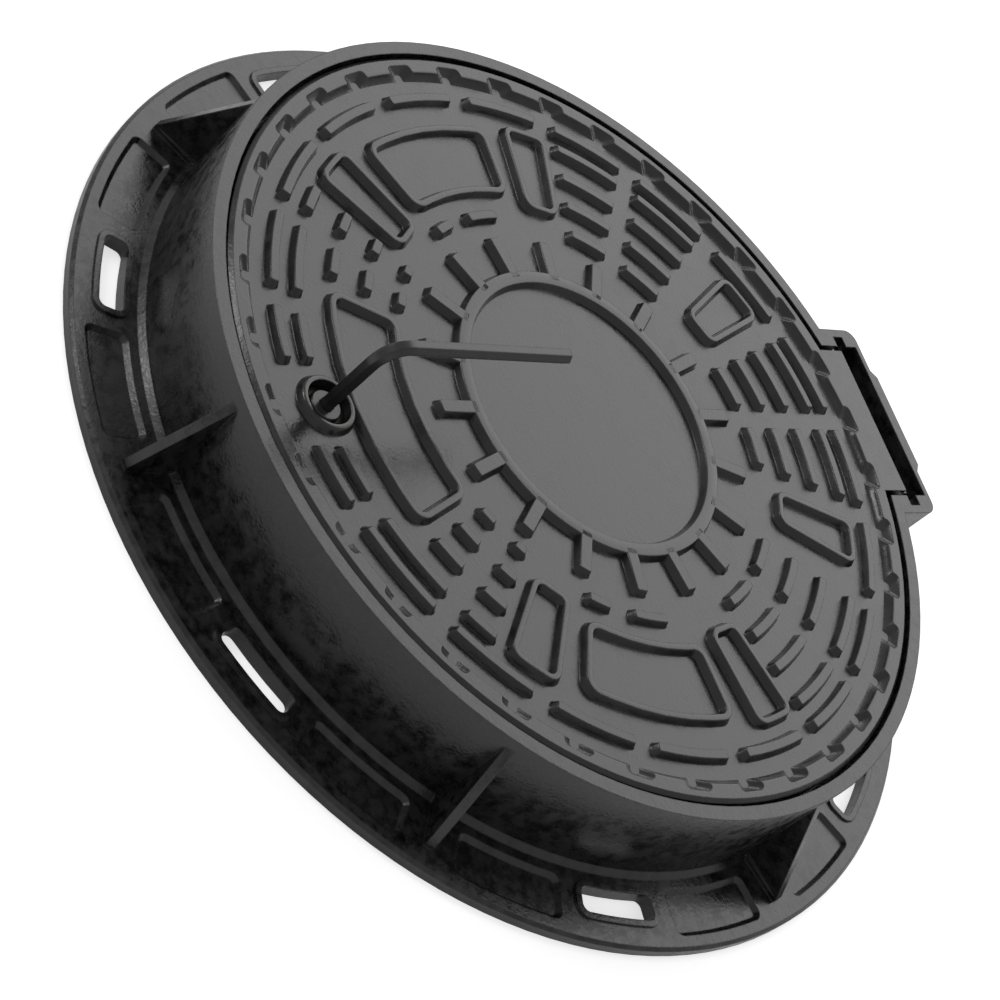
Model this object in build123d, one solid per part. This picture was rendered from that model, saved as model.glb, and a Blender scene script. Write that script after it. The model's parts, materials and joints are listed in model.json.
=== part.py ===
from build123d import *

import os
from math import asin, cos, degrees, radians, sin, sqrt

# Hinged ductile-iron manhole cover with a round flanged frame, a quarter-turn lock and its key.
# The frame stands on z = 0 with its centre at the origin. The hinge is at +Y and the lock at -Y.
# Millimetres and degrees. Plan angles are counted from the hinge, so 0 is +Y and 180 is the lock.

# ---- Frame ----
FRAME_HEIGHT = 100.0
FLANGE_RADIUS = 400.0
FLANGE_THICKNESS = 10.0
FLANGE_EDGE_CHAMFER = 2.5
WALL_THICKNESS = 11.3
WALL_FOOT_CHAMFER = 4.5
CLEAR_OPENING_RADIUS = 300.0
SEAT_DEPTH = 44.0
SEAT_THICKNESS = 12.0
SEAT_HAUNCH = 11.0
CELL_COUNT = 7
GUSSET_THICKNESS = 7.5
GUSSET_FOOT_SETBACK = 18.0
GUSSET_FOOT_HEIGHT = 4.0
GUSSET_TOP_DEPTH = 9.0
GUSSET_ROOT_FLARE = 3.0

# Slots and sunk pockets in the flange
SLOT_HALF_ANGLE = 5.25
SLOT_INNER_RADIUS = 357.5
SLOT_WIDTH = 20.0
SLOT_CORNER = 6.0
SLOT_BORDER_WIDTH = 5.0
SLOT_BORDER_HEIGHT = 1.8
POCKET_START_ANGLE = 8.1
POCKET_END_ANGLE = 22.3
POCKET_INNER_RADIUS = 353.0
POCKET_WIDTH = 36.0
POCKET_CORNER = 7.0
POCKET_DEPTH = 3.5
POCKET_SLOPE = 45.0

# Seat gasket
GASKET_WIDTH = 12.0
GASKET_HEIGHT = 7.0
GASKET_GROOVE_DEPTH = 4.0
GASKET_SIDE_CLEARANCE = 0.2

# ---- Hinge ----
HINGE_AXIS_Y = 348.5
HINGE_DEPTH = 14.0
PIN_RADIUS = 5.5
PIN_NOTCH_CLEARANCE = 0.5
PIN_END_CLEARANCE = 0.8
PIN_END_CHAMFER = 1.0
TONGUE_HALF_WIDTH = 68.5
TONGUE_END_SETBACK = 3.5
TONGUE_SIDE_CLEARANCE = 4.5
KNUCKLE_WALL = 4.0
NOTCH_LENGTH = 9.5
HOUSING_SIDE_WALL = 17.0
HOUSING_BACK_WALL = 5.0
HOUSING_BACK_STEP = 5.5
HOUSING_STEP_HALF_WIDTH = 43.0
HOUSING_STEP_SLOPE = 7.0
HOUSING_CORNER = 11.0
HOUSING_BACK_CLEARANCE = 19.0
HOUSING_POCKET_DEPTH = 38.0
HOUSING_FLOOR = 8.0
ROLL_PIN_RADIUS = 2.0
ROLL_PIN_SPACING = 100.0
ROLL_PIN_LENGTH = 15.0

# ---- Lid ----
LID_RADIUS = 326.5
LID_GAP = 2.9
LID_EDGE_CHAMFER = 2.5
PLATE_THICKNESS = 10.0
RELIEF = 9.5
DRAFT = 6.0
EMBED = 1.0
SKIRT_WIDTH = 20.0
SKIRT_DRAFT = 1.0
RIM_WIDTH = 14.2

# Notched rim
RIM_NOTCH_COUNT = 36
RIM_NOTCH_DEPTH = 6.2
RIM_NOTCH_TOP_WIDTH = 26.0
RIM_NOTCH_FLOOR_WIDTH = 9.0

# Centre ring with teeth
CENTRE_RING_INNER = 115.2
CENTRE_RING_WIDTH = 10.4
CENTRE_RING_DRAFT = 1.0
TOOTH_COUNT = 18
TOOTH_WIDTH = 10.2
TOOTH_LENGTH = 30.9

# Curved tread bars: inner radii of the five rows, from the middle outwards
BAR_ROWS = [174.5, 204.3, 234.1, 264.2, 284.7]
BAR_WIDTH = 7.0
BAR_PITCH = 18.0
FULL_BAR_CELLS = (0, 2, 3)
SHORT_BAR_LINE = 8
SHORT_BAR_OBLONG = 2.5
BAR_SETBACK = 11.0
LOCK_BAR_SETBACK = 36.0
OBLONG_BAR_SETBACK = 13.0
PANEL_BAR_SETBACK = 15.0
PANEL_BAR_SPANS = [(94.5, 104.7), (112.4, 118.3)]

# Oblong outline ridges, bare panels
OBLONG_COUNT = 7
OBLONG_HALF_ANGLE = 4.9
OBLONG_INNER_RADIUS = 190.0
OBLONG_LENGTH = 81.0
OBLONG_RIDGE = 4.5
OBLONG_CORNER = 10.0
SIDE_PANEL_ANGLE = 102.86
SIDE_PANEL_HALF_ANGLE = 16.2
SIDE_PANEL_INNER_RADIUS = 199.0
SIDE_PANEL_WIDTH = 62.5
LOCK_PANEL_HALF_ANGLE = 23.8
LOCK_PANEL_INNER_RADIUS = 179.5
LOCK_PANEL_WIDTH = 61.5
PANEL_RIDGE = 5.0
PANEL_CORNER = 12.0

# Ribs under the lid
RIB_COUNT = 8
RIB_THICKNESS = 8.0
RIB_DEPTH = 20.0
RIB_OPENING_CLEARANCE = 5.0
RIB_TAPER = 2.0
HUB_RADIUS = 70.0
RING_RIB_RADIUS = 185.0

# ---- Lock ----
LOCK_RADIUS = 263.5
COLLAR_INNER = 17.7
COLLAR_WIDTH = 4.3
COLLAR_EDGE_RADIUS = 1.2
BARREL_RADIUS = 12.6
BARREL_SINK = 4.0
BARREL_LENGTH = 40.0
BARREL_EDGE = 1.0
SHAFT_RADIUS = 9.0
SOCKET_DEPTH = 20.0
KEY_CLEARANCE = 0.3
BUSH_WALL = 3.0
BUSH_CLEARANCE = 0.3
BUSH_FLANGE_SINK = 8.0
BUSH_FLANGE_THICKNESS = 3.0
BUSH_FLANGE_CLEARANCE = 0.3
BUSH_STEP_THICKNESS = 4.0
BOSS_WALL = 10.0
THRUST_WASHER_THICKNESS = 2.0
SEAL_RING_SECTION = 2.4
SEAL_RING_DEPTH = 24.0
SEAL_RING_GROOVE_WIDTH = 2.9
SEAL_RING_CLEARANCE = 0.1
CAM_CLEARANCE = 1.0
CAM_THICKNESS = 8.0
CAM_WIDTH = 24.0
CAM_REACH = 49.0
CAM_TAIL_RADIUS = 14.0
CAM_TIP_RADIUS = 6.0
CAM_SQUARE = 12.0
CAM_SQUARE_CLEARANCE = 0.1
DISC_SPRING_RADIUS = 17.0
DISC_SPRING_THICKNESS = 1.5
STUD_RADIUS = 5.0
STUD_END = 4.0
LOCK_WASHER_RADIUS = 12.0
LOCK_WASHER_THICKNESS = 2.5
NUT_ACROSS_FLATS = 17.0
NUT_THICKNESS = 9.0
SPLIT_PIN_RADIUS = 1.4
SPLIT_PIN_LENGTH = 24.0
STOP_PIN_RADIUS = 3.0
STOP_PIN_REACH = 15.5
STOP_PIN_OVERLAP = 5.0
STOP_PIN_SINK = 10.0
STOP_CLEARANCE = 0.4

# ---- Key ----
KEY_ACROSS_FLATS = 10.5
KEY_BOTTOM_CLEARANCE = 0.5
KEY_ARM_HEIGHT = 70.5
KEY_ARM_LENGTH = 173.0
KEY_BEND_RADIUS = 20.0
KEY_END_CHAMFER = 1.0

# ---- Places that follow from the sizes above ----
RING_INNER = LID_RADIUS + LID_GAP
RING_OUTER = RING_INNER + WALL_THICKNESS
SEAT_TOP = FRAME_HEIGHT - SEAT_DEPTH
SEAT_BOTTOM = SEAT_TOP - SEAT_THICKNESS
GASKET_RADIUS = (CLEAR_OPENING_RADIUS + RING_INNER) / 2
GASKET_BOTTOM = SEAT_TOP - GASKET_GROOVE_DEPTH
GASKET_TOP = GASKET_BOTTOM + GASKET_HEIGHT
CELL_ANGLE = 360.0 / CELL_COUNT

HINGE_AXIS_Z = FRAME_HEIGHT - HINGE_DEPTH
KNUCKLE_RADIUS = PIN_RADIUS + KNUCKLE_WALL
TONGUE_END = HINGE_AXIS_Y - TONGUE_END_SETBACK
NOTCH_RADIUS = PIN_RADIUS + PIN_NOTCH_CLEARANCE
HOUSING_POCKET_HALF = TONGUE_HALF_WIDTH + TONGUE_SIDE_CLEARANCE
HOUSING_HALF_WIDTH = HOUSING_POCKET_HALF + HOUSING_SIDE_WALL
HOUSING_BACK_INNER = HINGE_AXIS_Y + HOUSING_BACK_CLEARANCE
HOUSING_BACK_OUTER = HOUSING_BACK_INNER + HOUSING_BACK_WALL
HOUSING_FLOOR_Z = FRAME_HEIGHT - HOUSING_POCKET_DEPTH
PIN_HALF_LENGTH = HOUSING_POCKET_HALF + NOTCH_LENGTH - PIN_END_CLEARANCE

GROUND = FRAME_HEIGHT - RELIEF
PLATE_BOTTOM = GROUND - PLATE_THICKNESS
RIM_INNER = LID_RADIUS - RIM_WIDTH
SKIRT_INNER = LID_RADIUS - SKIRT_WIDTH
TOOTH_ROOT = CENTRE_RING_INNER + CENTRE_RING_WIDTH / 2
TOOTH_TIP = CENTRE_RING_INNER + CENTRE_RING_WIDTH + TOOTH_LENGTH
RIB_BOTTOM = PLATE_BOTTOM - RIB_DEPTH
RIB_END = CLEAR_OPENING_RADIUS - RIB_OPENING_CLEARANCE

LOCK_CENTRE = (0, -LOCK_RADIUS)
COLLAR_OUTER = COLLAR_INNER + COLLAR_WIDTH
BARREL_TOP = FRAME_HEIGHT - BARREL_SINK
BARREL_BOTTOM = BARREL_TOP - BARREL_LENGTH
BUSH_INNER = BARREL_RADIUS + BUSH_CLEARANCE
BUSH_OUTER = BUSH_INNER + BUSH_WALL
BUSH_TOP = FRAME_HEIGHT - BUSH_FLANGE_SINK
BUSH_FLANGE_BOTTOM = BUSH_TOP - BUSH_FLANGE_THICKNESS
BUSH_STEP_TOP = BARREL_BOTTOM - THRUST_WASHER_THICKNESS
BUSH_BOTTOM = BUSH_STEP_TOP - BUSH_STEP_THICKNESS
BOSS_RADIUS = BUSH_OUTER + BOSS_WALL
CAM_TOP = SEAT_BOTTOM - CAM_CLEARANCE
CAM_BOTTOM = CAM_TOP - CAM_THICKNESS
LOCK_WASHER_BOTTOM = CAM_BOTTOM - LOCK_WASHER_THICKNESS
NUT_BOTTOM = LOCK_WASHER_BOTTOM - NUT_THICKNESS
STUD_BOTTOM = NUT_BOTTOM - STUD_END
STOP_PIN_BOTTOM = CAM_TOP - STOP_PIN_OVERLAP
STOP_PIN_OFFSET = CAM_WIDTH / 2 + STOP_CLEARANCE + STOP_PIN_RADIUS


# ---- Plan shapes ----
def at_angle(radius, angle):
    """Plan point at a radius and an angle counted from the hinge, positive towards -X."""
    return (-radius * sin(radians(angle)), radius * cos(radians(angle)))


def arc_between(radius, start, end):
    """Circular arc about the centre from one plan angle to another."""
    return CenterArc((0, 0), radius, 90 + start, end - start)


def sector(inner, outer, start, end, corner):
    """Ring sector with radial sides and rounded corners."""
    edges = [
        arc_between(inner, start, end),
        Line(at_angle(inner, end), at_angle(outer, end)),
        arc_between(outer, start, end),
        Line(at_angle(inner, start), at_angle(outer, start)),
    ]
    face = make_face(edges)
    return fillet(face.vertices(), corner)


def bar_outline(inner, start, end, start_setback, end_setback):
    """Tread bar between two radial lines, its ends parallel to them at their setbacks."""
    outer = inner + BAR_WIDTH
    start_angles = [start + degrees(asin(start_setback / radius)) for radius in (inner, outer)]
    end_angles = [end - degrees(asin(end_setback / radius)) for radius in (inner, outer)]
    edges = [
        arc_between(inner, start_angles[0], end_angles[0]),
        Line(at_angle(inner, end_angles[0]), at_angle(outer, end_angles[1])),
        arc_between(outer, start_angles[1], end_angles[1]),
        Line(at_angle(inner, start_angles[0]), at_angle(outer, start_angles[1])),
    ]
    return make_face(edges)


def turned(shape, angle):
    """Copy of a shape turned about the centre by a plan angle."""
    return Rot(0, 0, angle) * shape


def mirrored_pair(shape):
    """A shape and its mirror image across the line from the hinge to the lock."""
    return [shape, mirror(shape, about=Plane.YZ)]


# ---- Solids used more than once ----
def tube(outer, inner, bottom, top, centre=(0, 0)):
    """Upright ring between two heights."""
    face = Circle(outer) - Circle(inner)
    return Pos(centre[0], centre[1], bottom) * extrude(face, amount=top - bottom)


def rod(radius, bottom, top, centre=(0, 0)):
    """Upright round bar between two heights."""
    return Pos(centre[0], centre[1], bottom) * extrude(Circle(radius), amount=top - bottom)


def block(x_range, y_range, z_range):
    """Box given by its limits along each axis."""
    sizes = [limits[1] - limits[0] for limits in (x_range, y_range, z_range)]
    middles = [(limits[0] + limits[1]) / 2 for limits in (x_range, y_range, z_range)]
    return Pos(*middles) * Box(*sizes)


def cross_bar(radius, half_length):
    """Round bar along X, centred on the hinge axis."""
    return Pos(0, HINGE_AXIS_Y, HINGE_AXIS_Z) * Rot(0, 90, 0) * Cylinder(radius, 2 * half_length)


def raised(outline):
    """Drafted tread feature that stands on the lid, from its outline at the tread height."""
    return Pos(0, 0, FRAME_HEIGHT) * extrude(outline, amount=-(RELIEF + EMBED), taper=-DRAFT)


def ridge(outline, width):
    """Drafted ridge that follows the inside of an outline and leaves its floor at the ground."""
    floor_cut = offset(outline, amount=-width)
    hollow = Pos(0, 0, FRAME_HEIGHT) * extrude(floor_cut, amount=-(RELIEF + EMBED), taper=DRAFT)
    return raised(outline) - hollow


# ---- Frame ----
def frame_profile():
    """Half section of the flange, wall and seat, with the gasket groove in the seat."""
    groove_half = GASKET_WIDTH / 2 + GASKET_SIDE_CLEARANCE
    section = Polyline(
        (CLEAR_OPENING_RADIUS, SEAT_BOTTOM),
        (RING_INNER - SEAT_HAUNCH, SEAT_BOTTOM),
        (RING_INNER, SEAT_BOTTOM - SEAT_HAUNCH),
        (RING_INNER, 0),
        (FLANGE_RADIUS, 0),
        (FLANGE_RADIUS, FLANGE_THICKNESS),
        (RING_OUTER, FLANGE_THICKNESS),
        (RING_OUTER, FRAME_HEIGHT),
        (RING_INNER, FRAME_HEIGHT),
        (RING_INNER, SEAT_TOP),
        (GASKET_RADIUS + groove_half, SEAT_TOP),
        (GASKET_RADIUS + groove_half, GASKET_BOTTOM),
        (GASKET_RADIUS - groove_half, GASKET_BOTTOM),
        (GASKET_RADIUS - groove_half, SEAT_TOP),
        (CLEAR_OPENING_RADIUS, SEAT_TOP),
        close=True,
    )
    face = make_face(Plane.XZ * section)
    flange_edge = face.vertices().sort_by_distance((FLANGE_RADIUS, 0, FLANGE_THICKNESS))[0]
    face = chamfer(flange_edge, FLANGE_EDGE_CHAMFER)
    wall_foot = face.vertices().sort_by_distance((RING_OUTER, 0, FLANGE_THICKNESS))[0]
    return chamfer(wall_foot, WALL_FOOT_CHAMFER)


def gusset(angle):
    """Triangular rib from the wall to the flange, with a flare at its root."""
    inner = RING_OUTER - WALL_THICKNESS / 2
    foot = FLANGE_RADIUS - GUSSET_FOOT_SETBACK
    top = FRAME_HEIGHT - GUSSET_TOP_DEPTH
    foot_top = FLANGE_THICKNESS + GUSSET_FOOT_HEIGHT
    side = Polyline(
        (inner, FLANGE_THICKNESS / 2),
        (foot, FLANGE_THICKNESS / 2),
        (foot, foot_top),
        (RING_OUTER, top),
        (inner, top),
        close=True,
    )
    web = extrude(make_face(Plane.XZ * side), amount=GUSSET_THICKNESS / 2, both=True)
    root_outline = Polyline(
        (inner, -GUSSET_THICKNESS / 2 - GUSSET_ROOT_FLARE),
        (foot, -GUSSET_THICKNESS / 2),
        (foot, GUSSET_THICKNESS / 2),
        (inner, GUSSET_THICKNESS / 2 + GUSSET_ROOT_FLARE),
        close=True,
    )
    flare = extrude(make_face(root_outline), amount=foot_top)
    return turned(web + flare, 90 + angle)


def slot_outline(angle):
    """Through slot of the flange, centred on a plan angle."""
    outer = SLOT_INNER_RADIUS + SLOT_WIDTH
    return sector(SLOT_INNER_RADIUS, outer, angle - SLOT_HALF_ANGLE, angle + SLOT_HALF_ANGLE, SLOT_CORNER)


def slot_border(angle):
    """Raised pad round a flange slot."""
    outline = offset(slot_outline(angle), amount=SLOT_BORDER_WIDTH)
    return Pos(0, 0, FLANGE_THICKNESS / 2) * extrude(
        outline, amount=FLANGE_THICKNESS / 2 + SLOT_BORDER_HEIGHT
    )


def slot_cut(angle):
    """Cutter of a flange slot."""
    height = FLANGE_THICKNESS + 2 * SLOT_BORDER_HEIGHT
    return Pos(0, 0, -SLOT_BORDER_HEIGHT / 2) * extrude(slot_outline(angle), amount=height)


def pocket_cut(start, end):
    """Cutter of a sunk pocket with sloped walls in the flange's upper face."""
    outer = POCKET_INNER_RADIUS + POCKET_WIDTH
    outline = sector(POCKET_INNER_RADIUS, outer, start, end, POCKET_CORNER)
    return Pos(0, 0, FLANGE_THICKNESS) * extrude(outline, amount=-POCKET_DEPTH, taper=POCKET_SLOPE)


def housing_outline():
    """Plan of the hinge housing, with a shallow step in the middle of its back."""
    half = HOUSING_HALF_WIDTH
    step = HOUSING_BACK_OUTER + HOUSING_BACK_STEP
    step_foot = HOUSING_STEP_HALF_WIDTH + HOUSING_STEP_SLOPE
    front = sqrt(RING_INNER**2 - half**2)
    outline = Polyline(
        (-half, front),
        (-half, HOUSING_BACK_OUTER),
        (-step_foot, HOUSING_BACK_OUTER),
        (-HOUSING_STEP_HALF_WIDTH, step),
        (HOUSING_STEP_HALF_WIDTH, step),
        (step_foot, HOUSING_BACK_OUTER),
        (half, HOUSING_BACK_OUTER),
        (half, front),
        close=True,
    )
    face = make_face(outline)
    corners = face.vertices().group_by(Axis.X)
    outer_corners = [corners[0].sort_by(Axis.Y)[-1], corners[-1].sort_by(Axis.Y)[-1]]
    return fillet(outer_corners, HOUSING_CORNER)


def hinge_housing():
    """Block outside the wall that holds the hinge, cored from below."""
    shell = extrude(housing_outline(), amount=FRAME_HEIGHT)
    return shell - rod(RING_INNER, 0, FRAME_HEIGHT)


def housing_core():
    """Cutter of the hollow below the floor of the hinge pocket."""
    side = HOUSING_HALF_WIDTH - WALL_THICKNESS
    return block(
        (-side, side),
        (RING_OUTER, HOUSING_BACK_INNER),
        (0, HOUSING_FLOOR_Z - HOUSING_FLOOR),
    )


def hinge_pocket():
    """Cutter of the space in which the lid's tongue turns, with the two pin notches."""
    pocket = block(
        (-HOUSING_POCKET_HALF, HOUSING_POCKET_HALF),
        (CLEAR_OPENING_RADIUS, HOUSING_BACK_INNER),
        (HOUSING_FLOOR_Z, FRAME_HEIGHT + RELIEF),
    )
    notch_half = HOUSING_POCKET_HALF + NOTCH_LENGTH
    notch = block(
        (-notch_half, notch_half),
        (HINGE_AXIS_Y - NOTCH_RADIUS, HINGE_AXIS_Y + NOTCH_RADIUS),
        (HINGE_AXIS_Z, FRAME_HEIGHT + RELIEF),
    )
    return [pocket, notch, cross_bar(NOTCH_RADIUS, notch_half)]


def frame_casting():
    """Round flanged frame with gussets, slots, pockets and the hinge housing."""
    body = revolve(frame_profile(), Axis.Z)
    cells = [180 + CELL_ANGLE * (index + 0.5) for index in range(CELL_COUNT)]
    hinge_cell = CELL_COUNT // 2
    slots = [angle for index, angle in enumerate(cells) if index != hinge_cell]
    ribs = [gusset(180 + CELL_ANGLE * index) for index in range(CELL_COUNT)]
    borders = [slot_border(angle) for angle in slots]
    body = body + ribs + borders + hinge_housing()
    pockets = []
    for angle in slots:
        pockets.append(pocket_cut(angle + POCKET_START_ANGLE, angle + POCKET_END_ANGLE))
        pockets.append(pocket_cut(angle - POCKET_END_ANGLE, angle - POCKET_START_ANGLE))
    body = body - [slot_cut(angle) for angle in slots] - pockets
    return body - hinge_pocket() - housing_core()


def seat_gasket():
    """Elastomer ring in the groove of the seat, on which the lid rests."""
    half = GASKET_WIDTH / 2
    return tube(GASKET_RADIUS + half, GASKET_RADIUS - half, GASKET_BOTTOM, GASKET_TOP)


# ---- Lid ----
def lid_profile():
    """Half section of the plate, the rim with its skirt, and the centre ring."""
    ring_outer = CENTRE_RING_INNER + CENTRE_RING_WIDTH
    section = Polyline(
        (0, PLATE_BOTTOM),
        (SKIRT_INNER, PLATE_BOTTOM),
        (SKIRT_INNER, GASKET_TOP),
        (LID_RADIUS - SKIRT_DRAFT, GASKET_TOP),
        (LID_RADIUS, FRAME_HEIGHT),
        (RIM_INNER, FRAME_HEIGHT),
        (RIM_INNER, GROUND),
        (ring_outer + CENTRE_RING_DRAFT, GROUND),
        (ring_outer, FRAME_HEIGHT),
        (CENTRE_RING_INNER, FRAME_HEIGHT),
        (CENTRE_RING_INNER - CENTRE_RING_DRAFT, GROUND),
        (0, GROUND),
        close=True,
    )
    face = make_face(Plane.XZ * section)
    rim_edge = face.vertices().sort_by_distance((LID_RADIUS, 0, FRAME_HEIGHT))[0]
    return chamfer(rim_edge, LID_EDGE_CHAMFER)


def rim_notch(angle):
    """Cutter of one notch with sloped ends in the inner side of the rim."""
    floor_half = RIM_NOTCH_FLOOR_WIDTH / 2
    top_half = RIM_NOTCH_TOP_WIDTH / 2
    section = Polyline(
        (-floor_half, GROUND),
        (floor_half, GROUND),
        (top_half, FRAME_HEIGHT),
        (top_half, FRAME_HEIGHT + RELIEF),
        (-top_half, FRAME_HEIGHT + RELIEF),
        (-top_half, FRAME_HEIGHT),
        close=True,
    )
    across = make_face(Plane.XZ * section)
    start = RIM_INNER - RIM_NOTCH_DEPTH
    cutter = Pos(0, start, 0) * extrude(across, amount=-2 * RIM_NOTCH_DEPTH)
    return turned(cutter, angle)


def tooth(angle):
    """Outline of one tooth of the centre ring."""
    length = TOOTH_TIP - TOOTH_ROOT
    return turned(Pos(0, (TOOTH_ROOT + TOOTH_TIP) / 2, 0) * Rectangle(TOOTH_WIDTH, length), angle)


def outer_row():
    """Bars of the outermost row, one in each pitch, with the two beside the lock cut short."""
    inner = BAR_ROWS[-1]
    last = 180 - BAR_PITCH
    bars = []
    start = 0.0
    while start < last:
        bars.append(bar_outline(inner, start, start + BAR_PITCH, BAR_SETBACK, BAR_SETBACK))
        start += BAR_PITCH
    bars.append(bar_outline(inner, last, 180, BAR_SETBACK, LOCK_BAR_SETBACK))
    return bars


def inner_rows():
    """Bars of the four inner rows on one side, between the oblongs and the panels."""
    oblong_side = SHORT_BAR_OBLONG * 360 / OBLONG_COUNT + OBLONG_HALF_ANGLE
    panel_side = 180 - LOCK_PANEL_HALF_ANGLE
    split = SHORT_BAR_LINE * BAR_PITCH
    bars = []
    for row, inner in enumerate(BAR_ROWS[:-1]):
        for cell in FULL_BAR_CELLS:
            start = cell * BAR_PITCH
            bars.append(bar_outline(inner, start, start + BAR_PITCH, BAR_SETBACK, BAR_SETBACK))
        bars.append(bar_outline(inner, oblong_side, split, OBLONG_BAR_SETBACK, BAR_SETBACK))
        if row < len(BAR_ROWS) - 2:
            bars.append(bar_outline(inner, split, panel_side, BAR_SETBACK, PANEL_BAR_SETBACK))
    inner = BAR_ROWS[-2]
    last = 180 - BAR_PITCH
    bars.append(bar_outline(inner, split, last, BAR_SETBACK, BAR_SETBACK))
    bars.append(bar_outline(inner, last, 180, BAR_SETBACK, LOCK_BAR_SETBACK))
    return bars


def panel_row():
    """Two short bars between the centre ring and each side panel."""
    return [bar_outline(BAR_ROWS[0], start, end, 0.0, 0.0) for start, end in PANEL_BAR_SPANS]


def oblongs():
    """Oblong ridges on one side of the lid."""
    outer = OBLONG_INNER_RADIUS + OBLONG_LENGTH
    shapes = []
    for index in range(OBLONG_COUNT // 2):
        angle = (index + 0.5) * 360 / OBLONG_COUNT
        outline = sector(
            OBLONG_INNER_RADIUS, outer, angle - OBLONG_HALF_ANGLE, angle + OBLONG_HALF_ANGLE, OBLONG_CORNER
        )
        shapes.append(ridge(outline, OBLONG_RIDGE))
    return shapes


def panel(centre, half_angle, inner, width):
    """Bare panel framed by a ridge."""
    outline = sector(inner, inner + width, centre - half_angle, centre + half_angle, PANEL_CORNER)
    return ridge(outline, PANEL_RIDGE)


def tread():
    """Every raised feature of the lid."""
    outlines = [tooth(360 / TOOTH_COUNT * index) for index in range(TOOTH_COUNT)]
    for bar in outer_row() + inner_rows() + panel_row():
        outlines += mirrored_pair(bar)
    features = [raised(outline) for outline in outlines]
    for shape in oblongs():
        features += mirrored_pair(shape)
    side_panel = panel(SIDE_PANEL_ANGLE, SIDE_PANEL_HALF_ANGLE, SIDE_PANEL_INNER_RADIUS, SIDE_PANEL_WIDTH)
    features += mirrored_pair(side_panel)
    features.append(panel(180, LOCK_PANEL_HALF_ANGLE, LOCK_PANEL_INNER_RADIUS, LOCK_PANEL_WIDTH))
    return features


def tongue():
    """Flat tongue of the lid with the knuckle round the hinge pin."""
    root = sqrt(RIM_INNER**2 - TONGUE_HALF_WIDTH**2)
    side = Polyline(
        (root, FRAME_HEIGHT),
        (TONGUE_END, FRAME_HEIGHT),
        (TONGUE_END, HINGE_AXIS_Z),
        (HINGE_AXIS_Y, HINGE_AXIS_Z - KNUCKLE_RADIUS),
        (root, HINGE_AXIS_Z - KNUCKLE_RADIUS),
        close=True,
    )
    web = extrude(make_face(Plane.YZ * side), amount=TONGUE_HALF_WIDTH, both=True)
    knuckle = cross_bar(KNUCKLE_RADIUS, TONGUE_HALF_WIDTH)
    return web + knuckle - rod(RIM_INNER + RIM_NOTCH_DEPTH, PLATE_BOTTOM, FRAME_HEIGHT)


def under_ribs():
    """Radial ribs below the plate, from the hub to the skirt, standing clear of the seat."""
    ribs = []
    for index in range(RIB_COUNT):
        side = Polyline(
            (HUB_RADIUS, PLATE_BOTTOM),
            (HUB_RADIUS, RIB_BOTTOM),
            (RIB_END, RIB_BOTTOM + RIB_TAPER),
            (SKIRT_INNER + RIB_TAPER, PLATE_BOTTOM),
            close=True,
        )
        rib = extrude(make_face(Plane.YZ * side), amount=RIB_THICKNESS / 2, both=True)
        ribs.append(turned(rib, 360 / RIB_COUNT * (index + 0.5)))
    rings = [
        tube(HUB_RADIUS + RIB_THICKNESS, HUB_RADIUS, RIB_BOTTOM, PLATE_BOTTOM),
        tube(RING_RIB_RADIUS + RIB_THICKNESS, RING_RIB_RADIUS, RIB_BOTTOM + RIB_TAPER, PLATE_BOTTOM),
    ]
    return ribs + rings


def lock_boss():
    """Boss below the lid and collar above it, before the bore is cut."""
    boss = rod(BOSS_RADIUS, BUSH_BOTTOM, GROUND, LOCK_CENTRE)
    collar = raised(Pos(0, -LOCK_RADIUS) * Circle(COLLAR_OUTER))
    rim = collar.edges().sort_by(Axis.Z)[-1]
    return boss + fillet(rim, COLLAR_EDGE_RADIUS)


def lock_bore():
    """Cutter for the bush and the space round the barrel."""
    return [
        rod(BUSH_OUTER, BUSH_BOTTOM, FRAME_HEIGHT, LOCK_CENTRE),
        rod(COLLAR_INNER, BUSH_FLANGE_BOTTOM, FRAME_HEIGHT, LOCK_CENTRE),
    ]


def lid_casting():
    """Ductile-iron lid with its raised tread, rim, tongue and ribs."""
    body = revolve(lid_profile(), Axis.Z)
    body = body - [rim_notch(360 / RIM_NOTCH_COUNT * index) for index in range(RIM_NOTCH_COUNT)]
    body = body + tread() + under_ribs() + [tongue(), lock_boss()]
    body = body - lock_bore() - cross_bar(PIN_RADIUS, TONGUE_HALF_WIDTH)
    return body - roll_pins() - stop_pins()


# ---- Hinge pieces ----
def roll_pins():
    """Two pins driven up through the knuckle and the hinge pin."""
    bottom = HINGE_AXIS_Z - KNUCKLE_RADIUS
    half = ROLL_PIN_SPACING / 2
    places = [(-half, HINGE_AXIS_Y), (half, HINGE_AXIS_Y)]
    return [rod(ROLL_PIN_RADIUS, bottom, bottom + ROLL_PIN_LENGTH, place) for place in places]


def hinge_pin():
    """Steel bar through the knuckle, its ends in the frame's notches."""
    bar = cross_bar(PIN_RADIUS, PIN_HALF_LENGTH)
    ends = bar.edges().filter_by(GeomType.CIRCLE)
    return chamfer(ends, PIN_END_CHAMFER) - roll_pins()


# ---- Lock pieces ----
def key_hexagon(across_flats):
    """Hexagon with two flats facing the hinge and the lock."""
    return RegularPolygon(across_flats / sqrt(3), 6)


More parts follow.
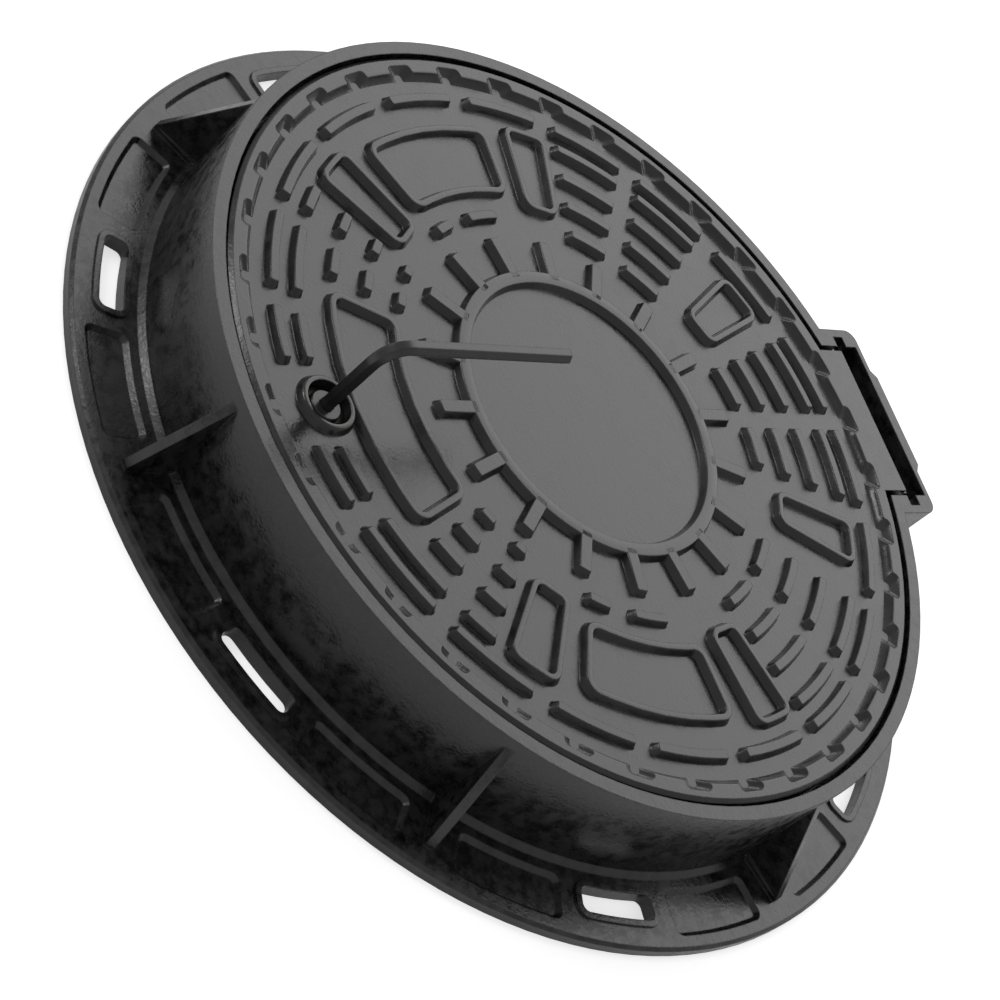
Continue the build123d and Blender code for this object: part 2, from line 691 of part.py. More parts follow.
def lock_spindle():
    """Barrel with a hexagon socket, shaft, square for the cam and threaded end."""
    barrel = rod(BARREL_RADIUS, BARREL_BOTTOM, BARREL_TOP)
    barrel = chamfer(barrel.edges().sort_by(Axis.Z)[-1], BARREL_EDGE)
    shaft = rod(SHAFT_RADIUS, CAM_TOP, BARREL_BOTTOM)
    square = Pos(0, 0, CAM_BOTTOM) * extrude(Rectangle(CAM_SQUARE, CAM_SQUARE), amount=CAM_THICKNESS)
    stud = rod(STUD_RADIUS, STUD_BOTTOM, CAM_BOTTOM)
    socket_bottom = BARREL_TOP - SOCKET_DEPTH
    socket = Pos(0, 0, socket_bottom) * extrude(
        key_hexagon(KEY_ACROSS_FLATS + 2 * KEY_CLEARANCE), amount=SOCKET_DEPTH
    )
    groove_middle = BARREL_TOP - SEAL_RING_DEPTH
    groove = tube(
        BARREL_RADIUS + SEAL_RING_SECTION,
        BARREL_RADIUS - SEAL_RING_SECTION + BUSH_CLEARANCE / 2,
        groove_middle - SEAL_RING_GROOVE_WIDTH / 2,
        groove_middle + SEAL_RING_GROOVE_WIDTH / 2,
    )
    pin_height = (NUT_BOTTOM + STUD_BOTTOM) / 2
    pin_bore = Pos(0, 0, pin_height) * Rot(90, 0, 0) * Cylinder(SPLIT_PIN_RADIUS, SPLIT_PIN_LENGTH)
    body = barrel + shaft + square + stud - socket - groove - pin_bore
    return Pos(0, -LOCK_RADIUS, 0) * body


def lock_bush():
    """Flanged bush pressed into the lid, with a step that carries the spindle."""
    flange = tube(COLLAR_INNER - BUSH_FLANGE_CLEARANCE, BUSH_INNER, BUSH_FLANGE_BOTTOM, BUSH_TOP)
    sleeve = tube(BUSH_OUTER, BUSH_INNER, BUSH_STEP_TOP, BUSH_FLANGE_BOTTOM)
    step = tube(BUSH_OUTER, SHAFT_RADIUS + BUSH_CLEARANCE, BUSH_BOTTOM, BUSH_STEP_TOP)
    return Pos(0, -LOCK_RADIUS, 0) * (flange + sleeve + step)


def lock_seal_ring():
    """Square seal ring in the barrel's groove, resting on its lower side."""
    outer = BARREL_RADIUS + BUSH_CLEARANCE / 2
    inner = outer - SEAL_RING_SECTION + SEAL_RING_CLEARANCE
    bottom = BARREL_TOP - SEAL_RING_DEPTH - SEAL_RING_GROOVE_WIDTH / 2
    return tube(outer, inner, bottom, bottom + SEAL_RING_SECTION, LOCK_CENTRE)


def lock_thrust_washer():
    """Washer between the barrel's shoulder and the step of the bush."""
    inner = SHAFT_RADIUS + BUSH_CLEARANCE
    return tube(BARREL_RADIUS, inner, BUSH_STEP_TOP, BARREL_BOTTOM, LOCK_CENTRE)


def lock_disc_springs():
    """Two disc springs back to back, which press the cam away from the bush."""
    inner = SHAFT_RADIUS + BUSH_CLEARANCE
    middle = (BUSH_BOTTOM + CAM_TOP) / 2
    section = Polyline(
        (inner, BUSH_BOTTOM),
        (inner, BUSH_BOTTOM - DISC_SPRING_THICKNESS),
        (DISC_SPRING_RADIUS, middle),
        (DISC_SPRING_RADIUS, middle + DISC_SPRING_THICKNESS),
        close=True,
    )
    upper = Pos(0, -LOCK_RADIUS, 0) * revolve(make_face(Plane.XZ * section), Axis.Z)
    return [upper, mirror(upper, about=Plane.XY.offset(middle))]


def lock_cam():
    """Plate that swings under the seat, with a square hole and a rounded tip."""
    plate = Circle(CAM_TAIL_RADIUS) + Pos(CAM_REACH / 2, 0) * Rectangle(CAM_REACH, CAM_WIDTH)
    tip = plate.vertices().group_by(Axis.X)[-1]
    plate = fillet(tip, CAM_TIP_RADIUS)
    hole = CAM_SQUARE + 2 * CAM_SQUARE_CLEARANCE
    cam = extrude(plate - Rectangle(hole, hole), amount=CAM_THICKNESS)
    return Pos(0, -LOCK_RADIUS, CAM_BOTTOM) * cam


def lock_washer():
    """Flat washer between the cam and the nut."""
    inner = STUD_RADIUS + CAM_SQUARE_CLEARANCE
    return tube(LOCK_WASHER_RADIUS, inner, LOCK_WASHER_BOTTOM, CAM_BOTTOM, LOCK_CENTRE)


def lock_nut():
    """Hexagon nut that holds the cam."""
    face = RegularPolygon(NUT_ACROSS_FLATS / sqrt(3), 6) - Circle(STUD_RADIUS)
    return Pos(0, -LOCK_RADIUS, NUT_BOTTOM) * extrude(face, amount=NUT_THICKNESS)


def stop_pins():
    """Two pins in the lid's boss that stop the cam in its open and closed positions."""
    places = [
        (STOP_PIN_REACH, STOP_PIN_OFFSET - LOCK_RADIUS),
        (-STOP_PIN_OFFSET, -STOP_PIN_REACH - LOCK_RADIUS),
    ]
    top = BUSH_BOTTOM + STOP_PIN_SINK
    return [rod(STOP_PIN_RADIUS, STOP_PIN_BOTTOM, top, place) for place in places]


def lock_split_pin():
    """Pin through the end of the stud, which keeps the nut on."""
    height = (NUT_BOTTOM + STUD_BOTTOM) / 2
    bar = Rot(90, 0, 0) * Cylinder(SPLIT_PIN_RADIUS, SPLIT_PIN_LENGTH)
    return Pos(0, -LOCK_RADIUS, height) * bar


def key():
    """Hexagon bar bent to an L, standing in the socket with its arm towards the hinge."""
    bottom = BARREL_TOP - SOCKET_DEPTH + KEY_BOTTOM_CLEARANCE
    arm_height = FRAME_HEIGHT + KEY_ARM_HEIGHT
    corner = (0, 0, arm_height)
    path = FilletPolyline((0, 0, bottom), corner, (0, KEY_ARM_LENGTH, arm_height), radius=KEY_BEND_RADIUS)
    section = Pos(0, 0, bottom) * key_hexagon(KEY_ACROSS_FLATS)
    bar = sweep(section, path=path)
    ends = bar.faces().sort_by(Axis.Z)[0].edges() + bar.faces().sort_by(Axis.Y)[-1].edges()
    bar = chamfer(ends, KEY_END_CHAMFER)
    return Pos(0, -LOCK_RADIUS, 0) * bar


PARTS = {
    "frame_casting": frame_casting,
    "seat_gasket": seat_gasket,
    "lid_casting": lid_casting,
    "hinge_pin": hinge_pin,
    "hinge_roll_pins": lambda: Compound(roll_pins()),
    "lock_spindle": lock_spindle,
    "lock_bush": lock_bush,
    "lock_seal_ring": lock_seal_ring,
    "lock_thrust_washer": lock_thrust_washer,
    "lock_disc_springs": lambda: Compound(lock_disc_springs()),
    "lock_cam": lock_cam,
    "lock_washer": lock_washer,
    "lock_nut": lock_nut,
    "lock_split_pin": lock_split_pin,
    "lock_stop_pins": lambda: Compound(stop_pins()),
    "key": key,
}


def write_parts():
    """Write every piece to its own file."""
    os.makedirs("parts", exist_ok=True)
    for name, make in PARTS.items():
        export_step(make(), f"parts/{name}.step")


write_parts()
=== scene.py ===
"""Looks of a hinged, lockable manhole cover: satin black castings, steel lock and key."""

import json
import logging
from dataclasses import dataclass, field
from enum import Enum
from math import asin, cos, degrees, hypot, pi, radians, sin, sqrt

import bmesh
import bpy
from mathutils import Matrix, Vector


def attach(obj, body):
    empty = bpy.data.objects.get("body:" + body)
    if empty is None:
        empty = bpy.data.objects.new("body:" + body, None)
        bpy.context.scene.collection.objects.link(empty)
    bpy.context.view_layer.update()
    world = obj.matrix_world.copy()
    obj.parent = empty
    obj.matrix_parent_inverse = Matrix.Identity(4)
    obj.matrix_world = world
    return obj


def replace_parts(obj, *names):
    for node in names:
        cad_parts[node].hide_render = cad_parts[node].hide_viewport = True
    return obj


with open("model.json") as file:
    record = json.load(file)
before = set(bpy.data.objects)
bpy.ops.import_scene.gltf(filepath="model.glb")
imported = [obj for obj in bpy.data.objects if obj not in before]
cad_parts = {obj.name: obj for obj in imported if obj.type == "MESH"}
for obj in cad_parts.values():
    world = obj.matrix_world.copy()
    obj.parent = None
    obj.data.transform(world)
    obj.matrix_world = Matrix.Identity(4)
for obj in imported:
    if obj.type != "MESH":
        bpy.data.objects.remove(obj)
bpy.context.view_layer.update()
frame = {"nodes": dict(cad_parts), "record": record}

MM = 0.001
WELD = 0.002 * MM
PITCH_WELD = 0.01 * MM
LID_TOP = 100.0
RELIEF = 6.0
GROUND = LID_TOP - RELIEF
QUARTER = (0, 30, 60, 90)
LOG = logging.getLogger("manhole_cover")


class Body(Enum):
    """The rigid bodies that pieces ride on."""

    FRAME = "frame"
    LID = "lid"
    LOCK = "lock"
    KEY = "key"


class Graph:
    """Short-hand for building a node tree.

    Args:
        tree: the tree to fill.
    """

    def __init__(self, tree: bpy.types.NodeTree) -> None:
        """Keeps the tree."""
        self.tree = tree

    def add(self, kind: str, settings: dict | None = None, **inputs: object) -> bpy.types.Node:
        """Adds a node, sets its properties and fills or links its inputs.

        Args:
            kind: the node's type name.
            settings: properties of the node itself.
            inputs: socket names, spaces written as underscores, with a value or an output.

        Returns:
            The new node.
        """
        node = self.tree.nodes.new(kind)
        for name, value in (settings or {}).items():
            setattr(node, name, value)
        for name, value in inputs.items():
            self.feed(node.inputs[name.replace("_", " ")], value)
        return node

    def feed(self, socket: bpy.types.NodeSocket, value: object) -> None:
        """Links an output to a socket, or sets the socket's own value.

        Args:
            socket: the input to fill.
            value: an output to link, or a plain value.
        """
        if isinstance(value, bpy.types.NodeSocket):
            self.tree.links.new(value, socket)
        else:
            socket.default_value = value

    def math(self, operation: str, *values: object) -> bpy.types.NodeSocket:
        """Adds one math node.

        Args:
            operation: what the node does, such as ADD.
            values: its operands, numbers or outputs.

        Returns:
            The node's result.
        """
        node = self.add("ShaderNodeMath", {"operation": operation})
        for socket, value in zip(node.inputs, values):
            self.feed(socket, value)
        return node.outputs[0]


class ShapeTree(Graph):
    """A Geometry Nodes tree with named inputs.

    Args:
        name: name of the tree.
        material: material set on what the tree makes.
    """

    def __init__(self, name: str, material: bpy.types.Material) -> None:
        """Makes the tree with its geometry input and output.

        Args:
            name: name of the tree.
            material: material set on what the tree makes.
        """
        super().__init__(bpy.data.node_groups.new(name, "GeometryNodeTree"))
        self.material = material
        self.values: dict[str, object] = {}
        for way in ("INPUT", "OUTPUT"):
            self.tree.interface.new_socket("Geometry", in_out=way, socket_type="NodeSocketGeometry")
        self.entry = self.tree.nodes.new("NodeGroupInput")
        self.exit = self.tree.nodes.new("NodeGroupOutput")

    def base(self) -> bpy.types.NodeSocket:
        """The mesh that the modified object brings along."""
        return self.entry.outputs["Geometry"]

    def named(self, name: str, value: object) -> bpy.types.NodeSocket:
        """Adds a named input to the tree.

        Args:
            name: name of the input.
            value: a length in metres, a count or an object.

        Returns:
            The output that carries it inside the tree.
        """
        kinds = {
            float: "NodeSocketFloat",
            int: "NodeSocketInt",
            bpy.types.Object: "NodeSocketObject",
        }
        kind = next(socket for python, socket in kinds.items() if isinstance(value, python))
        socket = self.tree.interface.new_socket(name, in_out="INPUT", socket_type=kind)
        self.values[socket.identifier] = value
        return self.entry.outputs[name]

    def attribute(self, name: str) -> bpy.types.NodeSocket:
        """A number stored on the points under a name."""
        settings = {"data_type": "FLOAT"}
        return self.add("GeometryNodeInputNamedAttribute", settings, Name=name).outputs[0]

    def copies_round(
        self, shape: bpy.types.NodeSocket, count: bpy.types.NodeSocket, start: float = 0.0
    ) -> bpy.types.NodeSocket:
        """Copies a shape evenly round the upright axis at the origin.

        Args:
            shape: the geometry to copy.
            count: number of copies.
            start: turn of the first copy in radians.

        Returns:
            The copies.
        """
        points = self.add(
            "GeometryNodeMeshLine", {"mode": "OFFSET"}, Count=count, Offset=(0.0, 0.0, 0.0)
        )
        step = self.math("DIVIDE", 2 * pi, count)
        turn = self.math("MULTIPLY", self.add("GeometryNodeInputIndex").outputs[0], step)
        copies = self.add(
            "GeometryNodeInstanceOnPoints",
            Points=points.outputs[0],
            Instance=shape,
            Rotation=self.add("ShaderNodeCombineXYZ", Z=self.math("ADD", turn, start)).outputs[0],
        )
        return copies.outputs[0]

    def finish(self, shape: bpy.types.NodeSocket) -> None:
        """Ends the tree in real geometry with its material.

        Args:
            shape: the geometry that the tree has made.
        """
        real = self.add("GeometryNodeRealizeInstances", Geometry=shape)
        dressed = self.add(
            "GeometryNodeSetMaterial", Geometry=real.outputs[0], Material=self.material
        )
        self.tree.links.new(dressed.outputs[0], self.exit.inputs[0])

    def mesh(self, base: bpy.types.Mesh, name: str) -> bpy.types.Mesh:
        """Runs the tree on a base mesh.

        Args:
            base: the mesh that the tree starts from.
            name: name of the result.

        Returns:
            The finished plain mesh.
        """
        carrier = bpy.data.objects.new(name + " carrier", base)
        bpy.context.scene.collection.objects.link(carrier)
        modifier = carrier.modifiers.new("Shape", "NODES")
        modifier.node_group = self.tree
        for identifier, value in self.values.items():
            modifier[identifier] = value
        bpy.context.view_layer.update()
        evaluated = carrier.evaluated_get(bpy.context.evaluated_depsgraph_get())
        result = bpy.data.meshes.new_from_object(evaluated)
        result.name = name
        carrier.modifiers.clear()
        bpy.data.objects.remove(carrier)
        return result


# ---- Finishes ----
PATCH_DETAIL = 6.0
PATCH_ROUGHNESS = 0.62
GRAIN_DETAIL = 3.0
DARK_BELOW = 0.35
LIGHT_ABOVE = 0.68
ROUGH_ABOVE = 0.65
EDGE_SAMPLES = 4


@dataclass(frozen=True)
class Finish:
    """What every finish shares.

    Args:
        name: name of the material.
        colour: main colour, linear red, green and blue.
        spread: how far patches go lighter and darker than the main colour, as a share.
        patch: size of a patch in metres.
        roughness: lowest and highest roughness over the patches.
        metallic: 1 for bare metal, 0 for paint or rubber.
        specular: strength of the mirror image, 0.5 for an ordinary coat.
        grain: size of the surface's fine bumps in metres.
        relief: height of the bumps in metres.
        edge: radius in metres to which sharp edges look rounded.
    """

    name: str
    colour: tuple[float, float, float]
    spread: float = 0.2
    patch: float = 0.05
    roughness: tuple[float, float] = (0.3, 0.45)
    metallic: float = 0.0
    specular: float = 0.5
    grain: float = 0.0015
    relief: float = 0.00004
    edge: float = 0.0006

    def material(self) -> bpy.types.Material:
        """Makes the material at its first use.

        Returns:
            The material of this finish.
        """
        made = bpy.data.materials.get(self.name)
        if made:
            return made
        material = bpy.data.materials.new(self.name)
        material.use_nodes = True
        graph = Graph(material.node_tree)
        shader = material.node_tree.nodes["Principled BSDF"]
        source = graph.add("ShaderNodeTexCoord").outputs["Object"]
        point = graph.add("ShaderNodeMapping", Vector=source).outputs[0]
        cloud = graph.add(
            "ShaderNodeTexNoise",
            Vector=point,
            Scale=1 / self.patch,
            Detail=PATCH_DETAIL,
            Roughness=PATCH_ROUGHNESS,
        )
        self.dress(graph, shader, point, cloud.outputs["Fac"])
        return material

    def dress(
        self,
        graph: Graph,
        shader: bpy.types.Node,
        point: bpy.types.NodeSocket,
        cloud: bpy.types.NodeSocket,
    ) -> None:
        """Fills the shader.

        Args:
            graph: the material's nodes.
            shader: the surface shader.
            point: coordinates on the piece.
            cloud: broad patches, 0 to 1.
        """
        dark = tuple(channel * (1 - self.spread) for channel in self.colour) + (1.0,)
        light = tuple(channel * (1 + self.spread) for channel in self.colour) + (1.0,)
        ramp = graph.add("ShaderNodeValToRGB", Fac=cloud)
        ramp.color_ramp.elements[0].position = DARK_BELOW
        ramp.color_ramp.elements[0].color = dark
        ramp.color_ramp.elements[1].position = LIGHT_ABOVE
        ramp.color_ramp.elements[1].color = light
        smooth, rough = self.roughness
        spread = graph.add(
            "ShaderNodeMapRange", Value=cloud, From_Min=DARK_BELOW, From_Max=ROUGH_ABOVE
        )
        graph.feed(spread.inputs["To Min"], smooth)
        graph.feed(spread.inputs["To Max"], rough)
        grain = graph.add(
            "ShaderNodeTexNoise", Vector=point, Scale=1 / self.grain, Detail=GRAIN_DETAIL
        )
        soft = graph.add("ShaderNodeBevel", {"samples": EDGE_SAMPLES}, Radius=self.edge)
        bump = graph.add(
            "ShaderNodeBump",
            Height=grain.outputs["Fac"],
            Distance=self.relief,
            Normal=soft.outputs[0],
        )
        graph.feed(shader.inputs["Base Color"], ramp.outputs["Color"])
        graph.feed(shader.inputs["Roughness"], spread.outputs[0])
        graph.feed(shader.inputs["Normal"], bump.outputs[0])
        shader.inputs["Metallic"].default_value = self.metallic
        shader.inputs["Specular IOR Level"].default_value = self.specular


CAST_PAINT = Finish(
    "Cast iron, satin black coat",
    (0.013, 0.013, 0.0135),
    spread=0.45,
    patch=0.02,
    roughness=(0.19, 0.3),
    specular=0.55,
    grain=0.0026,
    relief=0.00016,
    edge=0.0011,
)
FRAME_PAINT = Finish(
    "Cast iron frame, satin black coat",
    (0.0125, 0.0125, 0.013),
    spread=0.9,
    patch=0.011,
    roughness=(0.19, 0.36),
    specular=0.55,
    grain=0.0028,
    relief=0.00018,
    edge=0.0015,
)
RUBBER = Finish("Black rubber", (0.02, 0.02, 0.02), roughness=(0.6, 0.75), grain=0.0008)
PIN_STEEL = Finish(
    "Plated steel pin",
    (0.42, 0.42, 0.43),
    roughness=(0.28, 0.4),
    metallic=1.0,
    grain=0.0006,
    relief=0.00001,
)
LOCK_STEEL = Finish(
    "Blackened steel",
    (0.02, 0.02, 0.021),
    roughness=(0.26, 0.38),
    grain=0.001,
    relief=0.00003,
    edge=0.0005,
)
BRASS = Finish(
    "Darkened bush brass",
    (0.026, 0.023, 0.018),
    roughness=(0.34, 0.48),
    metallic=1.0,
    grain=0.0006,
    relief=0.00001,
)
KEY_STEEL = Finish(
    "Black key steel",
    (0.02, 0.02, 0.021),
    roughness=(0.2, 0.3),
    grain=0.001,
    relief=0.00002,
    edge=0.0018,
)


# ---- Shared shapes ----
SHARP_ANGLE = 35.0
END_FLAT = 0.3


def place_piece(mesh: bpy.types.Mesh, body: Body) -> bpy.types.Object:
    """Adds a mesh to the scene as a finished piece of a body.

    Args:
        mesh: the finished mesh, in place.
        body: the body that it rides on.

    Returns:
        The piece.
    """
    mesh.shade_smooth()
    mesh.set_sharp_from_angle(angle=radians(SHARP_ANGLE))
    piece = bpy.data.objects.new(mesh.name.lower().replace(" ", "_"), mesh)
    bpy.context.scene.collection.objects.link(piece)
    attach(piece, body.value)
    LOG.info("%s: %d faces, rides on %s", mesh.name, len(mesh.polygons), body.value)
    return piece


def joined_copy(node: str) -> bmesh.types.BMesh:
    """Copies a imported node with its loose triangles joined.

    Args:
        node: name of the node.

    Returns:
        The editable copy.
    """
    copy = bmesh.new()
    copy.from_mesh(frame["nodes"][node].data)
    bmesh.ops.remove_doubles(copy, verts=copy.verts, dist=WELD)
    return copy


def to_mesh(shape: bmesh.types.BMesh, name: str, finish: Finish | None = None) -> bpy.types.Mesh:
    """Turns an editable shape into a mesh and frees the shape.

    Args:
        shape: the editable shape.
        name: name of the mesh.
        finish: its one finish, if it has one.

    Returns:
        The mesh.
    """
    mesh = bpy.data.meshes.new(name)
    shape.to_mesh(mesh)
    shape.free()
    stored = mesh.attributes.get("custom_normal")
    if stored:
        mesh.attributes.remove(stored)
    mesh.materials.clear()
    if finish:
        mesh.materials.append(finish.material())
    return mesh


def helper_object(mesh: bpy.types.Mesh) -> bpy.types.Object:
    """Wraps a mesh in an object that a tree reads and that never joins the scene."""
    return bpy.data.objects.new(mesh.name, mesh)


def polar(radius: float, angle: float, height: float = 0.0) -> Vector:
    """Point at a plan angle in degrees from the hinge, lengths in millimetres."""
    turn = radians(angle)
    return Vector((-radius * sin(turn), radius * cos(turn), height)) * MM


def circle_points(
    radius: float, centre: tuple[float, float], height: float, steps: int
) -> list[Vector]:
    """Points of a level circle, all lengths in millimetres.

    Args:
        radius: radius of the circle.
        centre: plan place of its centre.
        height: height of the circle.
        steps: number of points.

    Returns:
        The points in metres, from +X towards +Y.
    """
    turns = [2 * pi * step / steps for step in range(steps)]
    x, y = centre
    return [Vector((x + radius * cos(turn), y + radius * sin(turn), height)) * MM for turn in turns]


def closed_line(shape: bmesh.types.BMesh, places: list[Vector]) -> list[bmesh.types.BMEdge]:
    """Adds a closed line to a shape.

    Args:
        shape: the shape that the line is added to.
        places: its points in metres.

    Returns:
        The edges of the line.
    """
    points = [shape.verts.new(place) for place in places]
    return [shape.edges.new(pair) for pair in zip(points, points[1:] + points[:1])]


def turn_up(faces: list[bmesh.types.BMFace]) -> None:
    """Turns level faces so that they point up.

    Args:
        faces: the faces to turn.
    """
    for face in faces:
        if face.normal.z < 0:
            face.normal_flip()


def skin(shape: bmesh.types.BMesh, rings: list[list[bmesh.types.BMVert]]) -> None:
    """Joins closed rings of equally many points, each to the next.

    Args:
        shape: the shape that holds the rings.
        rings: the rings, in order.
    """
    for low, high in zip(rings, rings[1:]):
        for index in range(len(low)):
            after = (index + 1) % len(low)
            shape.faces.new((low[index], low[after], high[after], high[index]))


def revolved(
    section: list[tuple[float, float]], centre: tuple[float, float], steps: int
) -> bmesh.types.BMesh:
    """Turns an open section round an upright axis.

    Args:
        section: radius and height of each point in millimetres.
        centre: plan place of the axis in millimetres.
        steps: divisions of the full turn.

    Returns:
        The turned surface, its normals to the left of the section's direction.
    """
    shape = bmesh.new()
    rings = []
    for radius, height in section:
        places = circle_points(radius, centre, height, steps)
        rings.append([shape.verts.new(place) for place in places])
    skin(shape, rings)
    return shape


@dataclass(frozen=True)
class Draft:
    """Section of a cast tread feature, from its foot to its flat top.

    Args:
        height: height above the ground of the lid.
        slope: draft of the sides in degrees.
        foot: radius of the fillet at the foot.
        crown: radius of the rounded top edge.
        sink: depth to which the foot goes below the ground.
    """

    height: float = RELIEF
    slope: float = 22.0
    foot: float = 0.4
    crown: float = 0.6
    sink: float = 0.5

    def levels(self) -> list[tuple[float, float]]:
        """Works out the rings of the section, from below the ground to the flat top.

        Returns:
            Height of each ring and how far it stands out from the outline at the top.
        """
        lean = sin(radians(self.slope)) / cos(radians(self.slope))
        rings = [(-self.sink, self.height * lean + self.foot)]
        for turn in QUARTER:
            rise = self.foot * (1 - cos(radians(turn)))
            reach = self.foot * (1 - sin(radians(turn)))
            rings.append((rise, (self.height - rise) * lean + reach))
        for turn in QUARTER:
            drop = self.crown * (1 - sin(radians(turn)))
            pull = self.crown * (1 - cos(radians(turn)))
            rings.append((self.height - drop, drop * lean - pull))
        rings.append((self.height, -self.crown - self.foot / 4))
        return rings


def bar_template(
    width: float, corner: float, steps: int, draft: Draft, end_slope: float
) -> bpy.types.Mesh:
    """Straight tread bar with rounded corners, ready to be bent to its place by a tree.

    The x place runs from 0 at the start to 1 at the end, y across the bar and z up in metres. The
    stored number "reach" is how far a point stands out beyond the nearer end.

    Args:
        width: width at the top.
        corner: corner radius at the top.
        steps: divisions along the bar.
        draft: section of the sides.
        end_slope: further growth of both ends for each unit of depth.

    Returns:
        The template.
    """
    shape = bmesh.new()
    reach = shape.verts.layers.float.new("reach")
    turns = [radians(turn) for turn in QUARTER]
    rings = []
    for height, growth in draft.levels():
        push = end_slope * (draft.height - max(height, 0.0))
        half = width / 2 + growth
        radius = min(max(corner + growth + push, corner / 2), half - END_FLAT)
        tip = growth + push
        ends = [
            (half - radius * (1 - cos(turn)), tip - radius * (1 - sin(turn))) for turn in turns
        ]
        inner = ends[0][1]
        loop = [(0.0, -across, out) for across, out in reversed(ends)]
        loop += [(step / steps, -half, inner) for step in range(1, steps)]
        loop += [(1.0, -across, out) for across, out in ends]
        loop += [(1.0, across, out) for across, out in reversed(ends)]
        loop += [(1 - step / steps, half, inner) for step in range(1, steps)]
        loop += [(0.0, across, out) for across, out in ends]
        ring = []
        for along, across, out in loop:
            vertex = shape.verts.new((along, across * MM, height * MM))
            vertex[reach] = out * MM
            ring.append(vertex)
        rings.append(ring)
    skin(shape, rings)
    shape.faces.new(rings[-1])
    return to_mesh(shape, "Bar template")


# ---- Lid ----
@dataclass
class Tread:
    """Raised pattern of the lid, laid out from the hinge round both sides.

    Args:
        ground: height of the lid's ground.
        draft: section of every raised feature.
        rows: inner radii of the bar rows, from the middle outwards.
        bar_width: width of a bar at its top.
        bar_corner: corner radius of a bar at its top.
        bar_end_slope: further growth of a bar's ends for each unit of depth.
        bar_steps: divisions along a bar.
        pitch: plan angle of one cell of bars in degrees.
        full_cells: cells, counted from the hinge, whose rows are all there.
        short_line: number of the line at which the rows beside an oblong end.
        setback: distance of a bar's end from its line.
        lock_setback: the same at the line through the lock.
        oblong_setback: the same beside an oblong.
        panel_setback: the same beside the lock's panel.
        panel_spans: start and end angles of the short bars inside the side panels.
        tooth_count: number of teeth round the centre ring.
        tooth_width: width of a tooth at its top.
        tooth_end_slope: further growth of a tooth's ends for each unit of depth.
        tooth_root: radius where a tooth starts, in the centre ring.
        tooth_tip: radius where it ends.
        ring_radius: middle radius of the centre ring.
        ring_width: width of the centre ring at its top.
        ring_steps: divisions of the centre ring.
        oblong_count: places for oblongs, of which the one at the lock stays empty.
        side_oblong: number of the oblong that the short rows start beside.
        oblong_half_angle: half of the plan angle of an oblong.
        oblong_inner: inner radius of an oblong.
        oblong_length: radial length of an oblong.
        oblong_ridge: width of the ridge round an oblong.
        oblong_corner: outer corner radius of an oblong.
        panel_ridge: width of the ridge round a panel.
        panel_corner: outer corner radius of a panel.
        side_panel: plan angle, half angle, inner radius and radial width of the side panels.
        lock_panel: the same of the panel at the lock.
    """

    ground: float = GROUND
    draft: Draft = Draft()
    rows: tuple[float, ...] = (174.5, 204.3, 234.1, 264.2, 284.7)
    bar_width: float = 7.0
    bar_corner: float = 1.4
    bar_end_slope: float = 0.2
    bar_steps: int = 5
    pitch: float = 18.0
    full_cells: tuple[int, ...] = (0, 2, 3)
    short_line: int = 8
    setback: float = 11.0
    lock_setback: float = 36.0
    oblong_setback: float = 13.0
    panel_setback: float = 15.0
    panel_spans: tuple[tuple[float, float], ...] = ((94.5, 104.7), (112.4, 118.3))
    tooth_count: int = 18
    tooth_width: float = 10.2
    tooth_end_slope: float = 0.1
    tooth_root: float = 120.4
    tooth_tip: float = 156.5
    ring_radius: float = 120.4
    ring_width: float = 10.4
    ring_steps: int = 120
    oblong_count: int = 7
    side_oblong: int = 2
    oblong_half_angle: float = 4.9
    oblong_inner: float = 190.0
    oblong_length: float = 81.0
    oblong_ridge: float = 4.5
    oblong_corner: float = 10.0
    panel_ridge: float = 5.0
    panel_corner: float = 12.0
    side_panel: tuple[float, float, float, float] = (102.86, 16.2, 199.0, 62.5)
    lock_panel: tuple[float, float, float, float] = (180.0, 23.8, 179.5, 61.5)

    def oblong_angle(self, index: int) -> float:
        """Plan angle of the middle of an oblong, counted from the hinge."""
        return (index + 0.5) * 360 / self.oblong_count

    def spans(self) -> list[tuple[float, float, float, float, float]]:
        """Lists the bars of one side of the lid.

        Returns:
            Inner radius, start and end line, and setback from each line, for each bar.
        """
        outer = self.rows[-1]
        last = 180 - self.pitch
        step = self.setback
        bars = [
            (outer, cell * self.pitch, (cell + 1) * self.pitch, step, step)
            for cell in range(round(last / self.pitch))
        ]
        bars.append((outer, last, 180, step, self.lock_setback))
        oblong_side = self.oblong_angle(self.side_oblong) + self.oblong_half_angle
        split = self.short_line * self.pitch
        panel_side = 180 - self.lock_panel[1]
        for row, inner in enumerate(self.rows[:-1]):
            for cell in self.full_cells:
                bars.append((inner, cell * self.pitch, (cell + 1) * self.pitch, step, step))
            bars.append((inner, oblong_side, split, self.oblong_setback, step))
            if row < len(self.rows) - 2:
                bars.append((inner, split, panel_side, step, self.panel_setback))
        inner = self.rows[-2]
        bars.append((inner, split, last, step, step))
        bars.append((inner, last, 180, step, self.lock_setback))
        bars += [(self.rows[0], start, end, 0.0, 0.0) for start, end in self.panel_spans]
        return bars

    def bar_points(self) -> bpy.types.Mesh:
        """Stores the place of each bar of both sides as numbers on one point.

        Returns:
            The points.
        """
        shape = bmesh.new()
        names = ("radius", "start", "end", "start setback", "end setback")
        layers = [shape.verts.layers.float.new(name) for name in names]
        for inner, start, end, first, second in self.spans():
            radius = (inner + self.bar_width / 2) * MM
            sides = [(radians(start), radians(end), first * MM, second * MM)]
            sides.append((radians(-end), radians(-start), second * MM, first * MM))
            for side in sides:
                vertex = shape.verts.new((0, 0, 0))
                for layer, value in zip(layers, (radius,) + side):
                    vertex[layer] = value
        return to_mesh(shape, "Bar points")

